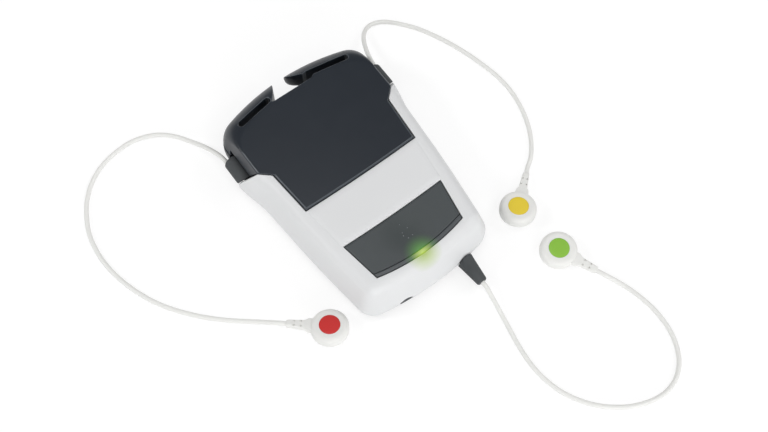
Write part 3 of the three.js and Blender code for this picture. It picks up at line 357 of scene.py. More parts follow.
def lamp_group():
    """Ball of light about a spot in the face, bright in the middle and soft at its rim."""
    group, nodes, links, entry, leave = new_group(
        "Lamp pool",
        [
            ("Spot", "NodeSocketVector", (0, 0, 0)),
            ("Reach", "NodeSocketFloat", 0.005),
            ("Falloff", "NodeSocketFloat", 2.0),
        ],
        [("Mask", "NodeSocketFloat")],
    )
    place = nodes.new("ShaderNodeTexCoord").outputs["Object"]
    away = vector_maths(nodes, links, "SUBTRACT", place, entry.outputs["Spot"])
    distance = vector_maths(nodes, links, "LENGTH", away, result="Value")
    share = maths(nodes, links, "DIVIDE", distance, entry.outputs["Reach"])
    fade = maths(nodes, links, "SUBTRACT", 1.0, maths(nodes, links, "MINIMUM", share, 1.0))
    smooth = maths(nodes, links, "POWER", fade, entry.outputs["Falloff"])
    links.new(smooth, leave.inputs["Mask"])
    return group


def metal_group():
    """Plated metal: fine drawn lines across one axis and cloudy gloss."""
    group, nodes, links, entry, leave = new_group(
        "Plated metal",
        [
            ("Colour", "NodeSocketColor", grey(0.5)),
            ("Roughness", "NodeSocketFloat", 0.25),
            ("Line stretch", "NodeSocketVector", (1, 30, 30)),
        ],
        [("Colour", "NodeSocketColor"), ("Roughness", "NodeSocketFloat"), ("Height", "NodeSocketFloat")],
    )
    place = nodes.new("ShaderNodeTexCoord").outputs["Object"]
    stretched = vector_maths(nodes, links, "MULTIPLY", place, entry.outputs["Line stretch"])
    lines = noise(nodes, links, stretched, scale=260, detail=3)
    cloud = noise(nodes, links, place, scale=420, detail=3, roughness=0.6)
    links.new(mixed(
        nodes, links, spread(nodes, links, cloud, 0.35, 0.7, 0.0, 0.22),
        entry.outputs["Colour"], (0.22, 0.21, 0.2, 1),
    ), leave.inputs["Colour"])
    rough = spread(nodes, links, lines, 0.3, 0.7, -0.06, 0.12)
    links.new(maths(nodes, links, "ADD", entry.outputs["Roughness"], rough), leave.inputs["Roughness"])
    links.new(lines, leave.inputs["Height"])
    return group


GROUPS = {"Moulded surface": moulded_group, "Lamp pool": lamp_group, "Plated metal": metal_group}


def group_node(material, name):
    node = material.node_tree.nodes.new("ShaderNodeGroup")
    node.node_tree = bpy.data.node_groups.get(name) or GROUPS[name]()
    return node


def add_bump(material, height, strength, depth):
    tree = material.node_tree
    bump = tree.nodes.new("ShaderNodeBump")
    bump.inputs["Strength"].default_value = strength
    bump.inputs["Distance"].default_value = depth
    tree.links.new(height, bump.inputs["Height"])
    tree.links.new(bump.outputs["Normal"], tree.nodes["Principled BSDF"].inputs["Normal"])


def fresh_material(name):
    material = bpy.data.materials.new(name)
    material.use_nodes = True
    return material, material.node_tree.nodes["Principled BSDF"], material.node_tree.links


def moulded(name, colour, roughness=0.4, handling=0.08, drift=0.03, grain=6000.0, bump=0.25,
            specular=0.5):
    """A moulded plastic or rubber finish."""
    found = bpy.data.materials.get(name)
    if found:
        return found
    material, shader, links = fresh_material(name)
    surface = group_node(material, "Moulded surface")
    for socket, value in (
        ("Colour", colour), ("Drift", drift), ("Roughness", roughness), ("Handling", handling),
        ("Grain per metre", grain),
    ):
        surface.inputs[socket].default_value = value
    links.new(surface.outputs["Colour"], shader.inputs["Base Color"])
    links.new(surface.outputs["Roughness"], shader.inputs["Roughness"])
    shader.inputs["Specular IOR Level"].default_value = specular
    add_bump(material, surface.outputs["Height"], bump, depth=0.00002)
    return material


def pool_mask(material, reach, falloff, spot=LAMP_SPOT):
    node = group_node(material, "Lamp pool")
    node.inputs["Spot"].default_value = (spot[0] * MM, spot[1] * MM, KEY_FACE * MM)
    node.inputs["Reach"].default_value = reach * MM
    node.inputs["Falloff"].default_value = falloff
    return node.outputs["Mask"]


def lit(material, *pools):
    """Adds pools of lamp light, each (reach, falloff, colour), to a finish."""
    tree = material.node_tree
    shader = tree.nodes["Principled BSDF"]
    shine = (0, 0, 0, 1)
    for reach, falloff, colour in pools:
        mask = pool_mask(material, reach, falloff)
        shine = mixed(tree.nodes, tree.links, mask, shine, colour, "ADD")
    tree.links.new(shine, shader.inputs["Emission Color"])
    shader.inputs["Emission Strength"].default_value = 1.0
    return material


def painted_pool(material, colour, reach, falloff, spot=LAMP_SPOT):
    """Paints a soft round pool of colour about a spot into the plastic's colour: painted lamp light on the
    white shell, painted shade in the key's dish.
    """
    tree = material.node_tree
    base = tree.nodes["Principled BSDF"].inputs["Base Color"]
    under = base.links[0].from_socket
    mask = pool_mask(material, reach, falloff, spot)
    tree.links.new(mixed(tree.nodes, tree.links, mask, under, colour), base)
    return material


def slate_finish():
    return moulded("Slate plastic", colours().slate, roughness=0.28, handling=0.04, specular=0.4)


# Painted highlight: lighter, glossier slate for the bevel faces of the cover's sharp edges
def slate_highlight_finish():
    return moulded("Slate edge highlight", colours().slate_edge_highlight, roughness=0.34, handling=0.06, drift=0.1)


def white_finish():
    found = bpy.data.materials.get("White plastic")
    if found:
        return found
    made = moulded("White plastic", colours().white, roughness=0.42, drift=0.012, bump=0.18)
    # Painted light: the lamp's spill mixed into the white plastic's colour in a pool about the lamp
    return painted_pool(made, colours().painted_spill, *PAINTED_SPILL_IN_SHELL)


def rubber_finish():
    return moulded("Dark rubber", colours().rubber, roughness=0.62, handling=0.12, grain=5000, bump=0.4,
                   specular=0.4)


def lead_finish():
    return moulded("Lead rubber", colours().lead, roughness=0.45, handling=0.1, drift=0.015, bump=0.15)


def nickel_finish():
    found = bpy.data.materials.get("Nickel")
    if found:
        return found
    material, shader, links = fresh_material("Nickel")
    surface = group_node(material, "Plated metal")
    surface.inputs["Colour"].default_value = colours().steel
    links.new(surface.outputs["Colour"], shader.inputs["Base Color"])
    links.new(surface.outputs["Roughness"], shader.inputs["Roughness"])
    shader.inputs["Metallic"].default_value = 1.0
    add_bump(material, surface.outputs["Height"], strength=0.15, depth=0.00001)
    return material


# Mesh helpers

SMOOTH_ANGLE = math.radians(35)
EDGE_ANGLE = math.radians(32)
FLAT_ANGLE = math.radians(0.3)


def handed_in(piece, body, material, node=None):
    """Links a piece that rides on a body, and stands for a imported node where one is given."""
    bpy.context.scene.collection.objects.link(piece)
    piece.data.materials.append(material)
    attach(piece, body)
    if node:
        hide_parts(node)
    return piece


def piece_from(name, mesh, body, material, node=None):
    """A piece from a finished bmesh, smooth but for its sharp edges."""
    for face in mesh.faces:
        face.smooth = True
    for edge in mesh.edges:
        edge.smooth = len(edge.link_faces) == 2 and edge.calc_face_angle(0) < SMOOTH_ANGLE
    data = bpy.data.meshes.new(name)
    mesh.to_mesh(data)
    mesh.free()
    return handed_in(bpy.data.objects.new(name, data), body, material, node)


def wire_from(name, points, diameter, resolution, material, node):
    """A round wire or cable along close points."""
    curve = bpy.data.curves.new(name, "CURVE")
    curve.dimensions = "3D"
    curve.bevel_depth = diameter / 2
    curve.bevel_resolution = resolution
    curve.use_fill_caps = True
    line = curve.splines.new("POLY")
    line.points.add(len(points) - 1)
    for point, spot in zip(line.points, points):
        point.co = (*spot, 1)
    line.use_smooth = True
    return handed_in(bpy.data.objects.new(name, curve), BODY, material, node)


def merged_copy(node):
    """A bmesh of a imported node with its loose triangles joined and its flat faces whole."""
    mesh = bmesh.new()
    mesh.from_mesh(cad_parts[node].data)
    bmesh.ops.remove_doubles(mesh, verts=mesh.verts, dist=4e-6)
    bmesh.ops.dissolve_degenerate(mesh, dist=1e-6, edges=mesh.edges)
    bmesh.ops.dissolve_limit(
        mesh, angle_limit=FLAT_ANGLE, verts=mesh.verts, edges=mesh.edges, delimit={"NORMAL"},
    )
    return mesh


def soften(piece, radius, segments):
    """Rounds the sharp edges of a piece and keeps its flat faces flat."""
    bevel = piece.modifiers.new("Edges", "BEVEL")
    bevel.width = radius
    bevel.segments = segments
    bevel.limit_method = "ANGLE"
    bevel.angle_limit = EDGE_ANGLE
    bevel.use_clamp_overlap = False
    bevel.harden_normals = False
    bevel.miter_outer = "MITER_SHARP"
    weighted = piece.modifiers.new("Flat faces", "WEIGHTED_NORMAL")
    weighted.keep_sharp = True
    weighted.weight = 50
    return bevel


def dressed_node(node, kind, body, material, radius=0.0, segments=2, edge_finish=None):
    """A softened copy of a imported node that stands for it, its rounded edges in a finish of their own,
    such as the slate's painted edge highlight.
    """
    piece = piece_from(f"{node}_{kind}", merged_copy(node), body, material, node)
    if radius:
        bevel = soften(piece, radius, segments)
        if edge_finish:
            # The bevel faces take the edge finish, a painted highlight on the slate cover
            piece.data.materials.append(edge_finish)
            bevel.material = 1


def turned(profile, steps):
    """A closed solid from a half outline of radius and height pairs, in millimetres."""
    mesh = bmesh.new()
    points = [mesh.verts.new((radius * MM, 0, height * MM)) for radius, height in profile]
    edges = [mesh.edges.new(pair) for pair in zip(points, points[1:])]
    bmesh.ops.spin(
        mesh, geom=points + edges, cent=(0, 0, 0), axis=(0, 0, 1), angle=math.tau, steps=steps,
        use_merge=True, use_duplicate=False,
    )
    bmesh.ops.remove_doubles(mesh, verts=mesh.verts, dist=1e-6)
    bmesh.ops.recalc_face_normals(mesh, faces=mesh.faces)
    return mesh


def shifted(mesh, *by):
    """Moves a mesh by metres and gives it back."""
    bmesh.ops.translate(mesh, vec=by, verts=mesh.verts)
    return mesh


def quarter(cx, cz, rx, rz, start, end, steps):
    """Points of an elliptical arc for a turned outline, from one angle to another in degrees."""
    points = []
    for index in range(steps + 1):
        angle = math.radians(start + (end - start) * index / steps)
        points.append((cx + rx * math.cos(angle), cz + rz * math.sin(angle)))
    return points


def solid_object(mesh):
    data = bpy.data.meshes.new("solid")
    mesh.to_mesh(data)
    mesh.free()
    piece = bpy.data.objects.new("solid", data)
    bpy.context.scene.collection.objects.link(piece)
    return piece


def combined(base, others):
    """The mesh of a base solid after joining or cutting others, each ("UNION" or "DIFFERENCE", bmesh)."""
    holder = solid_object(base)
    tools = []
    for operation, mesh in others:
        tool = solid_object(mesh)
        cut = holder.modifiers.new(operation, "BOOLEAN")
        cut.operation = operation
        cut.solver = "EXACT"
        cut.object = tool
        tools.append(tool)
    bpy.context.view_layer.update()
    result = holder.evaluated_get(bpy.context.evaluated_depsgraph_get())
    mesh = bmesh.new()
    mesh.from_mesh(result.to_mesh())
    result.to_mesh_clear()
    for tool in [holder, *tools]:
        data = tool.data
        bpy.data.objects.remove(tool)
        bpy.data.meshes.remove(data)
    bmesh.ops.remove_doubles(mesh, verts=mesh.verts, dist=2e-6)
    return mesh


def block(low, high):
    """A box between two corners in millimetres."""
    mesh = bmesh.new()
    bmesh.ops.create_cube(mesh, size=1)
    low, high = Vector(low), Vector(high)
    bmesh.ops.scale(mesh, vec=(high - low) * MM, verts=mesh.verts)
    return shifted(mesh, *(low + high) / 2 * MM)


def bowed_plate(foot, top, low, high, rim, columns=40, rows=16, segments=3):
    """A plate between two bowed edges, each (half width, y, sag), its upper rim rounded."""
    mesh = bmesh.new()
    bmesh.ops.create_grid(mesh, x_segments=columns, y_segments=rows, size=1)
    for vert in mesh.verts:
        across, along = vert.co.x, (vert.co.y + 1) / 2
        edges = []
        for half, y, sag in (foot, top):
            edges.append(Vector((half * across, y - sag * (1 - across * across), high)))
        vert.co = edges[0].lerp(edges[1], along) * MM
    rim_edges = [edge for edge in mesh.edges if edge.is_boundary]
    made = bmesh.ops.extrude_edge_only(mesh, edges=rim_edges)["geom"]
    skirt = [item for item in made if isinstance(item, bmesh.types.BMVert)]
    for vert in skirt:
        vert.co.z = low * MM
    floor_edges = [edge for edge in mesh.edges if edge.is_boundary]
    bmesh.ops.contextual_create(mesh, geom=floor_edges)
    bmesh.ops.recalc_face_normals(mesh, faces=mesh.faces)
    rims = [
        edge for edge in mesh.edges
        if edge.calc_face_angle(0) > 1.0 and all(abs(vert.co.z - high * MM) < 1e-7 for vert in edge.verts)
    ]
    bmesh.ops.bevel(
        mesh, geom=rims, offset=rim * MM, segments=segments, profile=0.5, affect="EDGES", material=-1,
        clamp_overlap=True,
    )
    return mesh


# Pieces


class RECORDER_OT_shells(bpy.types.Operator):
    """Dress the battery cover, the front shell and the rear housing"""

    bl_idname = "recorder.shells"
    bl_label = "Shells"

    def execute(self, context):
        edge = sizes().edge_radius
        for node, body, finish, slot, radius, edge_finish in (
            # The cover's rounded edges get the painted highlight finish
            ("battery_cover", COVER, slate_finish(), "slate_plastic", edge * 0.7, slate_highlight_finish()),
            ("rear_housing", BODY, slate_finish(), "slate_plastic", edge, None),
            ("front_shell", BODY, white_finish(), "white_plastic", edge * 0.6, None),
        ):
            dressed_node(node, "moulding", body, finish, radius, edge_finish=edge_finish)
        inlay = bowed_plate(
            PANEL_FOOT, PANEL_TOP, PANEL_FACE - PANEL_DEPTH, PANEL_FACE + PANEL_PROUD, PANEL_RIM,
            columns=24, rows=8, segments=2,
        )
        piece_from("panel_inlay", inlay, BODY, white_finish())
        return {"FINISHED"}


class RECORDER_OT_event_key(bpy.types.Operator):
    """Make the dished event key with its touch pips, and the light strip at its foot"""

    bl_idname = "recorder.event_key"
    bl_label = "Event key"

    def execute(self, context):
        self.make_key()
        self.make_pips()
        self.make_strip()
        return {"FINISHED"}

    def sunk(self, x, y):
        """How far the finger dish lies below the face at a place, in metres."""
        away = (Vector((x, y)) - Vector(DISH_SPOT) * MM).length / sizes().key_dish_radius
        return sizes().key_dish * (1 - min(1, away) ** 2) ** 2

    def make_key(self):
        half, top_y, top_sag = WINDOW_TOP
        foot_half, foot_y, foot_sag = WINDOW_FOOT
        key_foot_y = foot_y + STRIP_WIDTH + 2 * GAP
        share = (top_y - key_foot_y) / (top_y - foot_y)
        key_foot_half = half - share * (half - foot_half)
        key = bowed_plate(
            (key_foot_half - GAP, key_foot_y, foot_sag), (half - GAP, top_y - GAP, top_sag),
            KEY_FACE - KEY_THICKNESS, KEY_FACE, KEY_RIM,
        )
        for vert in key.verts:
            if vert.co.z > (KEY_FACE - 0.1) * MM:
                vert.co.z -= self.sunk(*vert.co.xy)
        post = shifted(turned(KEY_POST, 32), 0, KEY_POST_Y * MM, 0)
        smoked = moulded(
            "Smoked plastic", colours().smoked, 0.36, handling=0.12, drift=0.06, specular=0.4,
        )
        # Painted shade: the key's finger dish darkened in a soft pool about its middle
        painted_pool(smoked, colours().painted_dish_shade, *PAINTED_SHADE_IN_DISH, DISH_SPOT)
        lit(smoked, (*HALO_IN_KEY, colours().halo))
        cap = combined(key, [("UNION", post)])
        piece_from("event_key_cap", cap, KEY, smoked, "event_key")

    def make_pips(self):
        finish = moulded("Pip plastic", colours().pip, roughness=0.3)
        for index, (x, y, size) in enumerate(PIP_SPOTS):
            pip = turned([(0, -0.25), (1, -0.25), *quarter(0, 0, 1, 0.7, 0, 90, 4)], 20)
            bmesh.ops.scale(pip, vec=Vector((1, 1, 1)) * size * sizes().pip_radius / MM, verts=pip.verts)
            shifted(pip, x * MM, y * MM, KEY_FACE * MM - self.sunk(x * MM, y * MM))
            piece_from(f"key_pip_{index + 1}", pip, KEY, finish)

    def make_strip(self):
        foot_half, foot_y, foot_sag = WINDOW_FOOT
        strip = bowed_plate(
            (foot_half - GAP, foot_y + GAP, foot_sag),
            (foot_half - 0.1, foot_y + STRIP_WIDTH + 1.5 * GAP, foot_sag),
            KEY_FACE - KEY_THICKNESS, KEY_FACE, STRIP_RIM, columns=48, rows=3,
        )
        pipe = shifted(turned(LIGHT_PIPE, 24), 0, LIGHT_PIPE_Y * MM, 0)
        glow = lit(
            moulded("Light strip", colours().strip, roughness=0.3, drift=0.02, bump=0.1),
            (*HALO_IN_STRIP, colours().halo), (*LAMP_IN_STRIP, colours().lamp),
        )
        guide = combined(strip, [("UNION", pipe)])
        piece_from("light_strip", guide, BODY, glow, "light_guide")


class RECORDER_OT_rubber(bpy.types.Operator):
    """Dress the two sleeves, the tapered boot and the plug"""

    bl_idname = "recorder.rubber"
    bl_label = "Rubber"

    def execute(self, context):
        edge = sizes().rubber_edge
        for node, radius, segments in (
            ("left_sleeve", edge, 3),
            ("right_sleeve", edge, 3),
            ("lead_boot", edge * 0.6, 2),
            ("port_plug", edge * 0.5, 2),
        ):
            dressed_node(node, "rubber", BODY, rubber_finish(), radius, segments)
        return {"FINISHED"}


def screw_mesh(head_radius, outer, inner, shaft_radius, tip):
    """A pan-head screw on the upright axis with a cross recess, given by the levels of its faces."""
    way = 1 if inner > outer else -1
    crown, shoulder, point = 0.35, 0.1, 0.6
    screw = turned([
        (0, outer), (head_radius * 0.55, outer), (head_radius * 0.85, outer + way * crown * 0.4),
        (head_radius, outer + way * crown), (head_radius, inner - way * shoulder),
        (head_radius - shoulder, inner), (shaft_radius, inner),
        (shaft_radius, tip - way * point), (shaft_radius * 0.4, tip), (0, tip),
    ], 40)
    arm, half_width, depth = head_radius * 0.62, head_radius * 0.13, 0.9
    low, high = sorted((outer - way, outer + way * depth))
    return combined(screw, [
        ("DIFFERENCE", block((-x, -y, low), (x, y, high)))
        for x, y in ((arm, half_width), (half_width, arm))
    ])


class RECORDER_OT_screws(bpy.types.Operator):
    """Make the four housing screws and the two board screws"""

    bl_idname = "recorder.screws"
    bl_label = "Screws"

    def execute(self, context):
        for kind, shape in (("housing", HOUSING_SCREW), ("board", BOARD_SCREW)):
            for where in SCREW_PLACES[kind]:
                node = f"{kind}_screw_{where}"
                low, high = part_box(node)
                screw = shifted(screw_mesh(**shape), (low.x + high.x) / 2, (low.y + high.y) / 2, 0)
                piece_from(f"{node}_steel", screw, BODY, nickel_finish(), node)
        return {"FINISHED"}


class RECORDER_OT_electronics(bpy.types.Operator):
    """Finish the circuit board, its parts and the inner leads"""

    bl_idname = "recorder.electronics"
    bl_label = "Electronics"

    def execute(self, context):
        board = moulded("Solder mask", colours().board, roughness=0.35, drift=0.12, grain=900, bump=0.3)
        chip = moulded("Chip", colours().chip, roughness=0.5, grain=9000)
        lens = moulded("Lamp lens", colours().lamp, roughness=0.2, bump=0.05)
        lit(lens, (*LAMP_IN_LENS, colours().lamp))
        for node, kind, body, finish, slot, radius, segments in (
            ("circuit_board", "laminate", BODY, board, "board", 0, 2),
            ("processor_chip", "case", BODY, chip, "chip", 0.12, 2),
            ("amplifier_chip", "case", BODY, chip, "chip", 0.12, 2),
            ("memory_chip", "case", BODY, chip, "chip", 0.12, 2),
            ("key_switch", "case", BODY, chip, "chip", 0.12, 2),
            ("data_socket", "shell", BODY, nickel_finish(), "steel", 0.25, 3),
            ("switch_stem", "cap", KEY, nickel_finish(), "steel", 0.15, 2),
            ("status_led", "lens", BODY, lens, "led_lens", 0.12, 2),
            ("left_inner_lead", "sheath", BODY, lead_finish(), "lead_rubber", 0, 2),
            ("right_inner_lead", "sheath", BODY, lead_finish(), "lead_rubber", 0, 2),
            ("lower_inner_lead", "sheath", BODY, lead_finish(), "lead_rubber", 0, 2),
        ):
            dressed_node(node, kind, body, finish, radius * MM, segments)
        return {"FINISHED"}


class RECORDER_OT_cell(bpy.types.Operator):
    """Make the AA cell, its plate contacts and its conical spring"""

    bl_idname = "recorder.cell"
    bl_label = "Cell"

    def execute(self, context):
        low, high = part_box("battery_cell")
        low, high = low / MM, high / MM
        radius = (high.z - low.z) / 2
        can_end = high.x - 1.0
        centre = Vector((0, (low.y + high.y) / 2, (low.z + high.z) / 2)) * MM
        across = Matrix.Rotation(math.radians(90), 4, "Y")

        def laid(mesh):
            bmesh.ops.transform(mesh, matrix=across, verts=mesh.verts)
            return shifted(mesh, *centre)

        wrap = turned([
            (0, low.x + 0.5), (radius - 0.9, low.x + 0.5), (radius - 0.9, low.x + 0.12),
            *quarter(radius - 0.4, low.x + 0.5, 0.4, 0.4, -90, 0, 4),
            *quarter(radius - 0.7, can_end - 0.8, 0.7, 0.7, 0, 90, 4),
            (radius - 1.4, can_end - 0.1), (radius - 1.4, can_end - 0.6), (0, can_end - 0.6),
        ], 72)
        skin = moulded("Cell wrap", colours().cell_wrap, roughness=0.3, handling=0.12, drift=0.03, bump=0.1)
        piece_from("battery_cell_wrap", laid(wrap), BODY, skin, "battery_cell")
        ends = {
            "plus": [
                (0, can_end - 0.7), (radius - 1.45, can_end - 0.7), (radius - 1.45, can_end - 0.3),
                (radius - 2.2, can_end - 0.45), (3.6, can_end - 0.3), (2.9, can_end - 0.25),
                (2.7, can_end), *quarter(2.4, high.x - 0.3, 0.3, 0.3, 0, 90, 3), (0, high.x),
            ],
            "minus": [
                (0, low.x + 0.02), (5.2, low.x), (5.5, low.x + 0.25), (radius - 1.0, low.x + 0.3),
                (radius - 1.0, low.x + 0.6), (0, low.x + 0.6),
            ],
        }
        for which, profile in ends.items():
            end = laid(turned(profile, 56))
            piece_from(f"battery_cell_{which}_end", end, BODY, nickel_finish())
        for node in ("plate_contact", "spring_plate"):
            dressed_node(node, "nickel", BODY, nickel_finish(), 0.12 * MM)
        self.make_spring(low.x, centre)
        return {"FINISHED"}

    def make_spring(self, cell_end, centre):
        """A conical spring from its plate to the cell's end, its wire just short of the end."""
        turns, steps, wide, narrow, short = 3, 72, 5.0, 1.9, 0.3
        wire = sizes().spring_wire
        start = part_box("spring_plate")[1].x + wire / 2
        rise = cell_end * MM - short * MM - start - wire / 2
        coil = []
        for step in range(steps + 1):
            share = step / steps
            angle = math.tau * turns * share
            radius = (wide + (narrow - wide) * share) * MM
            coil.append((
                start + rise * share, centre.y + radius * math.cos(angle),
                centre.z + radius * math.sin(angle),
            ))
        wire_from("spring_contact_wire", coil, wire, 3, nickel_finish(), "spring_contact")


def clip_matrix(place):
    """Where a clip lies: its head's centre on the table, leaned on its rim, then turned."""
    lean, toward = math.radians(place["lean"]), math.radians(place["toward"])
    axis = Vector((-math.sin(toward), math.cos(toward), 0))
    lift = SNAP_DROP * math.cos(lean) + SNAP_RIM * math.sin(lean) + CLIP_AIR
    return (
        Matrix.Translation(Vector((place["x"], place["y"], lift)) * MM)
        @ Matrix.Rotation(lean, 4, axis)
        @ Matrix.Rotation(math.radians(place["turn"]), 4, "Z")
    )


def smooth_route(points, per_span=6):
    """A centripetal curve through points, as many short steps."""
    points = [Vector(point) for point in points]
    ends = [2 * points[0] - points[1], *points, 2 * points[-1] - points[-2]]
    made = []
    for index in range(len(points) - 1):
        p0, p1, p2, p3 = ends[index:index + 4]
        t1 = (p1 - p0).length ** 0.5
        t2 = t1 + (p2 - p1).length ** 0.5
        t3 = t2 + (p3 - p2).length ** 0.5
        for step in range(per_span):
            t = t1 + (t2 - t1) * step / per_span
            a1 = p0.lerp(p1, t / t1)
            a2 = p1.lerp(p2, (t - t1) / (t2 - t1))
            a3 = p2.lerp(p3, (t - t2) / (t3 - t2))
            b1 = a1.lerp(a2, t / t2)
            b2 = a2.lerp(a3, (t - t1) / (t3 - t1))
            made.append(b1.lerp(b2, (t - t1) / (t2 - t1)))
    return [*made, points[-1]]


def clip_body_mesh():
    """Clip body: a turned head with a disc recess above and a socket below, and a tapered neck."""
    radius, top, disc = sizes().clip_radius / MM, sizes().clip_height / MM, sizes().disc_radius / MM
    head = turned([
        (0, top - 0.6), (disc + 0.03, top - 0.6), (disc + 0.03, top - 0.05), (disc + 0.08, top),
        (radius - 1.9, top), *quarter(radius - 1.75, top - 1.85, 1.75, 1.85, 84, 0, 8),
        (radius, 1.2), *quarter(radius - 0.7, 0.9, 0.7, 0.9, 0, -90, 4)[1:],
        (SNAP_RIM, 0), (SNAP_RIM, 0.15 - SNAP_DROP), (SNAP_RIM - 0.15, -SNAP_DROP), (3.6, -SNAP_DROP),
        (3.6, 2.3), (0, 2.3),
    ], 72)
    reach = radius + sizes().neck_length / MM
    neck = block(
        (NECK_START, -0.5, NECK_LEVEL - NECK_HEIGHT / 2), (reach, 0.5, NECK_LEVEL + NECK_HEIGHT / 2),
    )
    for step in NECK_STEPS:
        bmesh.ops.bisect_plane(
            neck, geom=neck.verts[:] + neck.edges[:] + neck.faces[:],
            plane_co=((radius + step) * MM, 0, 0), plane_no=(1, 0, 0),
        )
    for vert in neck.verts:
        half = next(half for end, half in NECK_WIDTHS if vert.co.x / MM < radius + end)
        vert.co.y = math.copysign(half * MM, vert.co.y)
    long_edges = [
        edge for edge in neck.edges
        if abs(edge.verts[0].co.x - edge.verts[1].co.x) > 0.5 * MM
        or min(vert.co.x for vert in edge.verts) > (reach - 0.1) * MM
    ]
    bmesh.ops.bevel(
        neck, geom=long_edges, offset=0.45 * MM, segments=4, profile=0.5, affect="EDGES", material=-1,
        clamp_overlap=True,
    )
    cuts = [("UNION", neck)]
    for along, side in NECK_DIMPLES:
        dimple = turned([(0, 2.75), (0.25, 2.8), (0.36, 3.0), (0.4, 4.2), (0, 4.2)], 24)
        cuts.append(("DIFFERENCE", shifted(dimple, (radius + along) * MM, side * MM, 0)))
    return combined(head, cuts)


class RECORDER_OT_clips(bpy.types.Operator):
    """Make the three electrode clips with their coloured discs and snap sockets"""

    bl_idname = "recorder.clips"
    bl_label = "Clips"

    def execute(self, context):
        top, disc_radius = sizes().clip_height / MM, sizes().disc_radius / MM
        for name in CLIP_NAMES:
            place = clip_matrix(CLIP_PLACES[name])
            tint = getattr(colours(), name)
            paint = moulded(f"{name.capitalize()} disc", tint, roughness=0.34, drift=0.02, bump=0.1)
            parts = [
                ("clip", "moulding", clip_body_mesh(), lead_finish(), "lead_rubber"),
                ("disc", "inlay", turned([
                    (0, top - 0.55), (disc_radius, top - 0.55), (disc_radius, top - 0.12),
                    *quarter(disc_radius - 0.1, top - 0.12, 0.1, 0.1, 0, 90, 3),
                    (disc_radius * 0.6, top + 0.01), (0, top + 0.02),
                ], 64), paint, f"{name}_disc"),
                ("snap", "socket", turned([
                    (0, 1.5), (1.85, 1.5), (2.1, 0.9), (1.95, -0.05), (2.05, -0.35), (2.25, -0.45),
                    (3.1, -0.45), (3.3, -0.3), (3.3, 1.85), (3.15, 2.0), (0, 2.0),
                ], 64), nickel_finish(), "steel"),
            ]
            for node, kind, mesh, material, slot in parts:
                bmesh.ops.transform(mesh, matrix=place, verts=mesh.verts)
                piece_from(f"{name}_{node}_{kind}", mesh, BODY, material, f"{name}_{node}")
        return {"FINISHED"}


class RECORDER_OT_leads(bpy.types.Operator):
    """Lay the three leads from the recorder to their clips"""

    bl_idname = "recorder.leads"
    bl_label = "Leads"

    def execute(self, context):
        diameter = sizes().lead_diameter
        reach = (sizes().clip_radius + sizes().neck_length) / MM
        for name in CLIP_NAMES:
            place = clip_matrix(CLIP_PLACES[name])
            laid = [Vector((*point, LEAD_REST)[:3]) * MM for point in LEAD_ROUTES[name]]
            first, second = laid[:2]
            inside = first - (second - first).normalized() * LEAD_ROOT * MM
            tail = [place @ (Vector((reach + out, 0, NECK_LEVEL)) * MM) for out in LEAD_TAIL]
            points = smooth_route([inside, *laid, *tail])
            lead = wire_from(
                f"{name}_lead_cable", points, diameter, 5, lead_finish(), f"{name}_lead",
            )
        return {"FINISHED"}


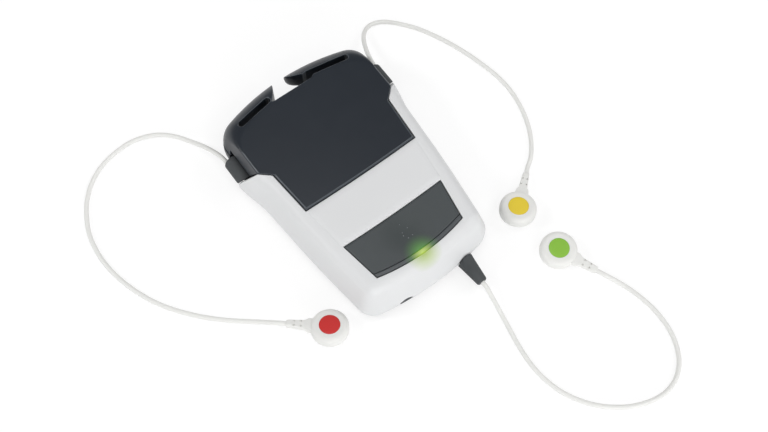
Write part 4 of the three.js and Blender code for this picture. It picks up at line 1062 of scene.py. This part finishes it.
class RECORDER_OT_stage(bpy.types.Operator):
    """Set the pale floor, the soft studio light and the camera"""

    bl_idname = "recorder.stage"
    bl_label = "Stage"

    def execute(self, context):
        scene = context.scene
        floor = self.lay_floor(scene)
        self.light_world(scene)
        for softbox in SOFTBOXES:
            self.hang_lamp(scene, *softbox)
        self.let_through(floor, self.hang_lamp(scene, *UNDERSIDE_SOFTBOX))
        lens = bpy.data.cameras.new("view")
        lens.lens = CAMERA_LENS
        lens.sensor_width = 36
        lens.clip_start, lens.clip_end = 0.01, 20
        scene.camera = self.aimed(scene, "view", lens, Vector(CAMERA_PLACE) * MM, Vector(CAMERA_AIM) * MM)
        scene.view_settings.view_transform = "Standard"
        return {"FINISHED"}

    def lay_floor(self, scene):
        mesh = bmesh.new()
        bmesh.ops.create_circle(mesh, cap_ends=True, segments=96, radius=FLOOR_RADIUS)
        data = bpy.data.meshes.new("floor")
        shifted(mesh, 0, 0, -FLOOR_DROP).to_mesh(data)
        mesh.free()
        floor = bpy.data.objects.new("floor", data)
        scene.collection.objects.link(floor)
        data.materials.append(self.floor_finish())
        return floor

    def aimed(self, scene, name, data, place, aim):
        """Sets up a lamp or camera at a place, looking at its aim."""
        holder = bpy.data.objects.new(name, data)
        holder.location = place
        holder.rotation_mode = "QUATERNION"
        holder.rotation_quaternion = (aim - place).to_track_quat("-Z", "Y")
        scene.collection.objects.link(holder)
        return holder

    def hang_lamp(self, scene, name, place, size, power):
        lamp = bpy.data.lights.new(name, "AREA")
        lamp.shape = "DISK"
        lamp.size = size
        lamp.energy = power
        return self.aimed(scene, name, lamp, Vector(place), Vector())

    def let_through(self, floor, lamp):
        """Keep the floor from holding back the lamp that shows the back of the recorder."""
        blockers = bpy.data.collections.new("Kept out of the underside light")
        blockers.objects.link(floor)
        blockers.collection_objects[0].light_linking.link_state = "EXCLUDE"
        lamp.light_linking.blocker_collection = blockers
        lamp.visible_camera = False
        lamp.visible_glossy = False

    def floor_finish(self):
        """White paper that keeps the shadows, meets the white background and is clear from below."""
        material = bpy.data.materials.new("Studio floor")
        material.use_nodes = True
        tree = material.node_tree
        nodes, links = tree.nodes, tree.links
        nodes.clear()
        out = nodes.new("ShaderNodeOutputMaterial")
        paper = nodes.new("ShaderNodeBsdfDiffuse")
        rays = nodes.new("ShaderNodeLightPath").outputs
        seen = maths(nodes, links, "MAXIMUM", rays["Is Camera Ray"], rays["Is Transmission Ray"])
        shine = rays["Is Glossy Ray"]
        (seen_grey, seen_glow), (gloss_grey, gloss_glow) = PAPER_SEEN, PAPER_IN_GLOSS
        plain = mixed(nodes, links, shine, grey(PAPER), grey(gloss_grey))
        links.new(mixed(nodes, links, seen, plain, grey(seen_grey)), paper.inputs["Color"])
        lift = nodes.new("ShaderNodeEmission")
        glow = maths(nodes, links, "MULTIPLY", seen, seen_glow)
        links.new(maths(nodes, links, "MULTIPLY_ADD", shine, gloss_glow, glow), lift.inputs["Strength"])
        both = nodes.new("ShaderNodeAddShader")
        links.new(paper.outputs[0], both.inputs[0])
        links.new(lift.outputs[0], both.inputs[1])
        clear = nodes.new("ShaderNodeBsdfTransparent")
        side = nodes.new("ShaderNodeMixShader")
        links.new(nodes.new("ShaderNodeNewGeometry").outputs["Backfacing"], side.inputs[0])
        links.new(both.outputs[0], side.inputs[1])
        links.new(clear.outputs[0], side.inputs[2])
        links.new(side.outputs[0], out.inputs[0])
        return material

    def light_world(self, scene):
        """Soft room light, white behind the object for the camera and through glass."""
        world = bpy.data.worlds.new("studio")
        scene.world = world
        world.use_nodes = True
        nodes, links = world.node_tree.nodes, world.node_tree.links
        rays = nodes.new("ShaderNodeLightPath").outputs
        seen = maths(nodes, links, "MAXIMUM", rays["Is Camera Ray"], rays["Is Transmission Ray"])
        strength = maths(nodes, links, "MULTIPLY_ADD", seen, 1 - ROOM_LIGHT, ROOM_LIGHT)
        links.new(strength, nodes["Background"].inputs["Strength"])
        nodes["Background"].inputs["Color"].default_value = grey(1)


PIECE_OPERATORS = (
    RECORDER_OT_stage,
    RECORDER_OT_shells,
    RECORDER_OT_event_key,
    RECORDER_OT_rubber,
    RECORDER_OT_clips,
    RECORDER_OT_leads,
    RECORDER_OT_screws,
    RECORDER_OT_electronics,
    RECORDER_OT_cell,
)


class RECORDER_PT_pieces(bpy.types.Panel):
    """Pieces of the heart recorder"""

    bl_idname = "RECORDER_PT_pieces"
    bl_label = "Heart recorder"
    bl_space_type = "VIEW_3D"
    bl_region_type = "UI"
    bl_category = "Recorder"

    def draw(self, context):
        for operator in PIECE_OPERATORS:
            self.layout.operator(operator.bl_idname)
        for group, label in ((sizes(), "Sizes"), (colours(), "Colours")):
            box = self.layout.box()
            box.label(text=label)
            for name in group.__annotations__:
                box.prop(group, name)


CLASSES = (RecorderSizes, RecorderColours, *PIECE_OPERATORS, RECORDER_PT_pieces)


def register():
    for cls in CLASSES:
        bpy.utils.register_class(cls)
    bpy.types.Scene.recorder_sizes = PointerProperty(type=RecorderSizes)
    bpy.types.Scene.recorder_colours = PointerProperty(type=RecorderColours)


def unregister():
    del bpy.types.Scene.recorder_colours
    del bpy.types.Scene.recorder_sizes
    for cls in reversed(CLASSES):
        bpy.utils.unregister_class(cls)


def main():
    register()
    for operator in PIECE_OPERATORS:
        group, name = operator.bl_idname.split(".")
        getattr(getattr(bpy.ops, group), name)()


if __name__ == "__main__":
    main()
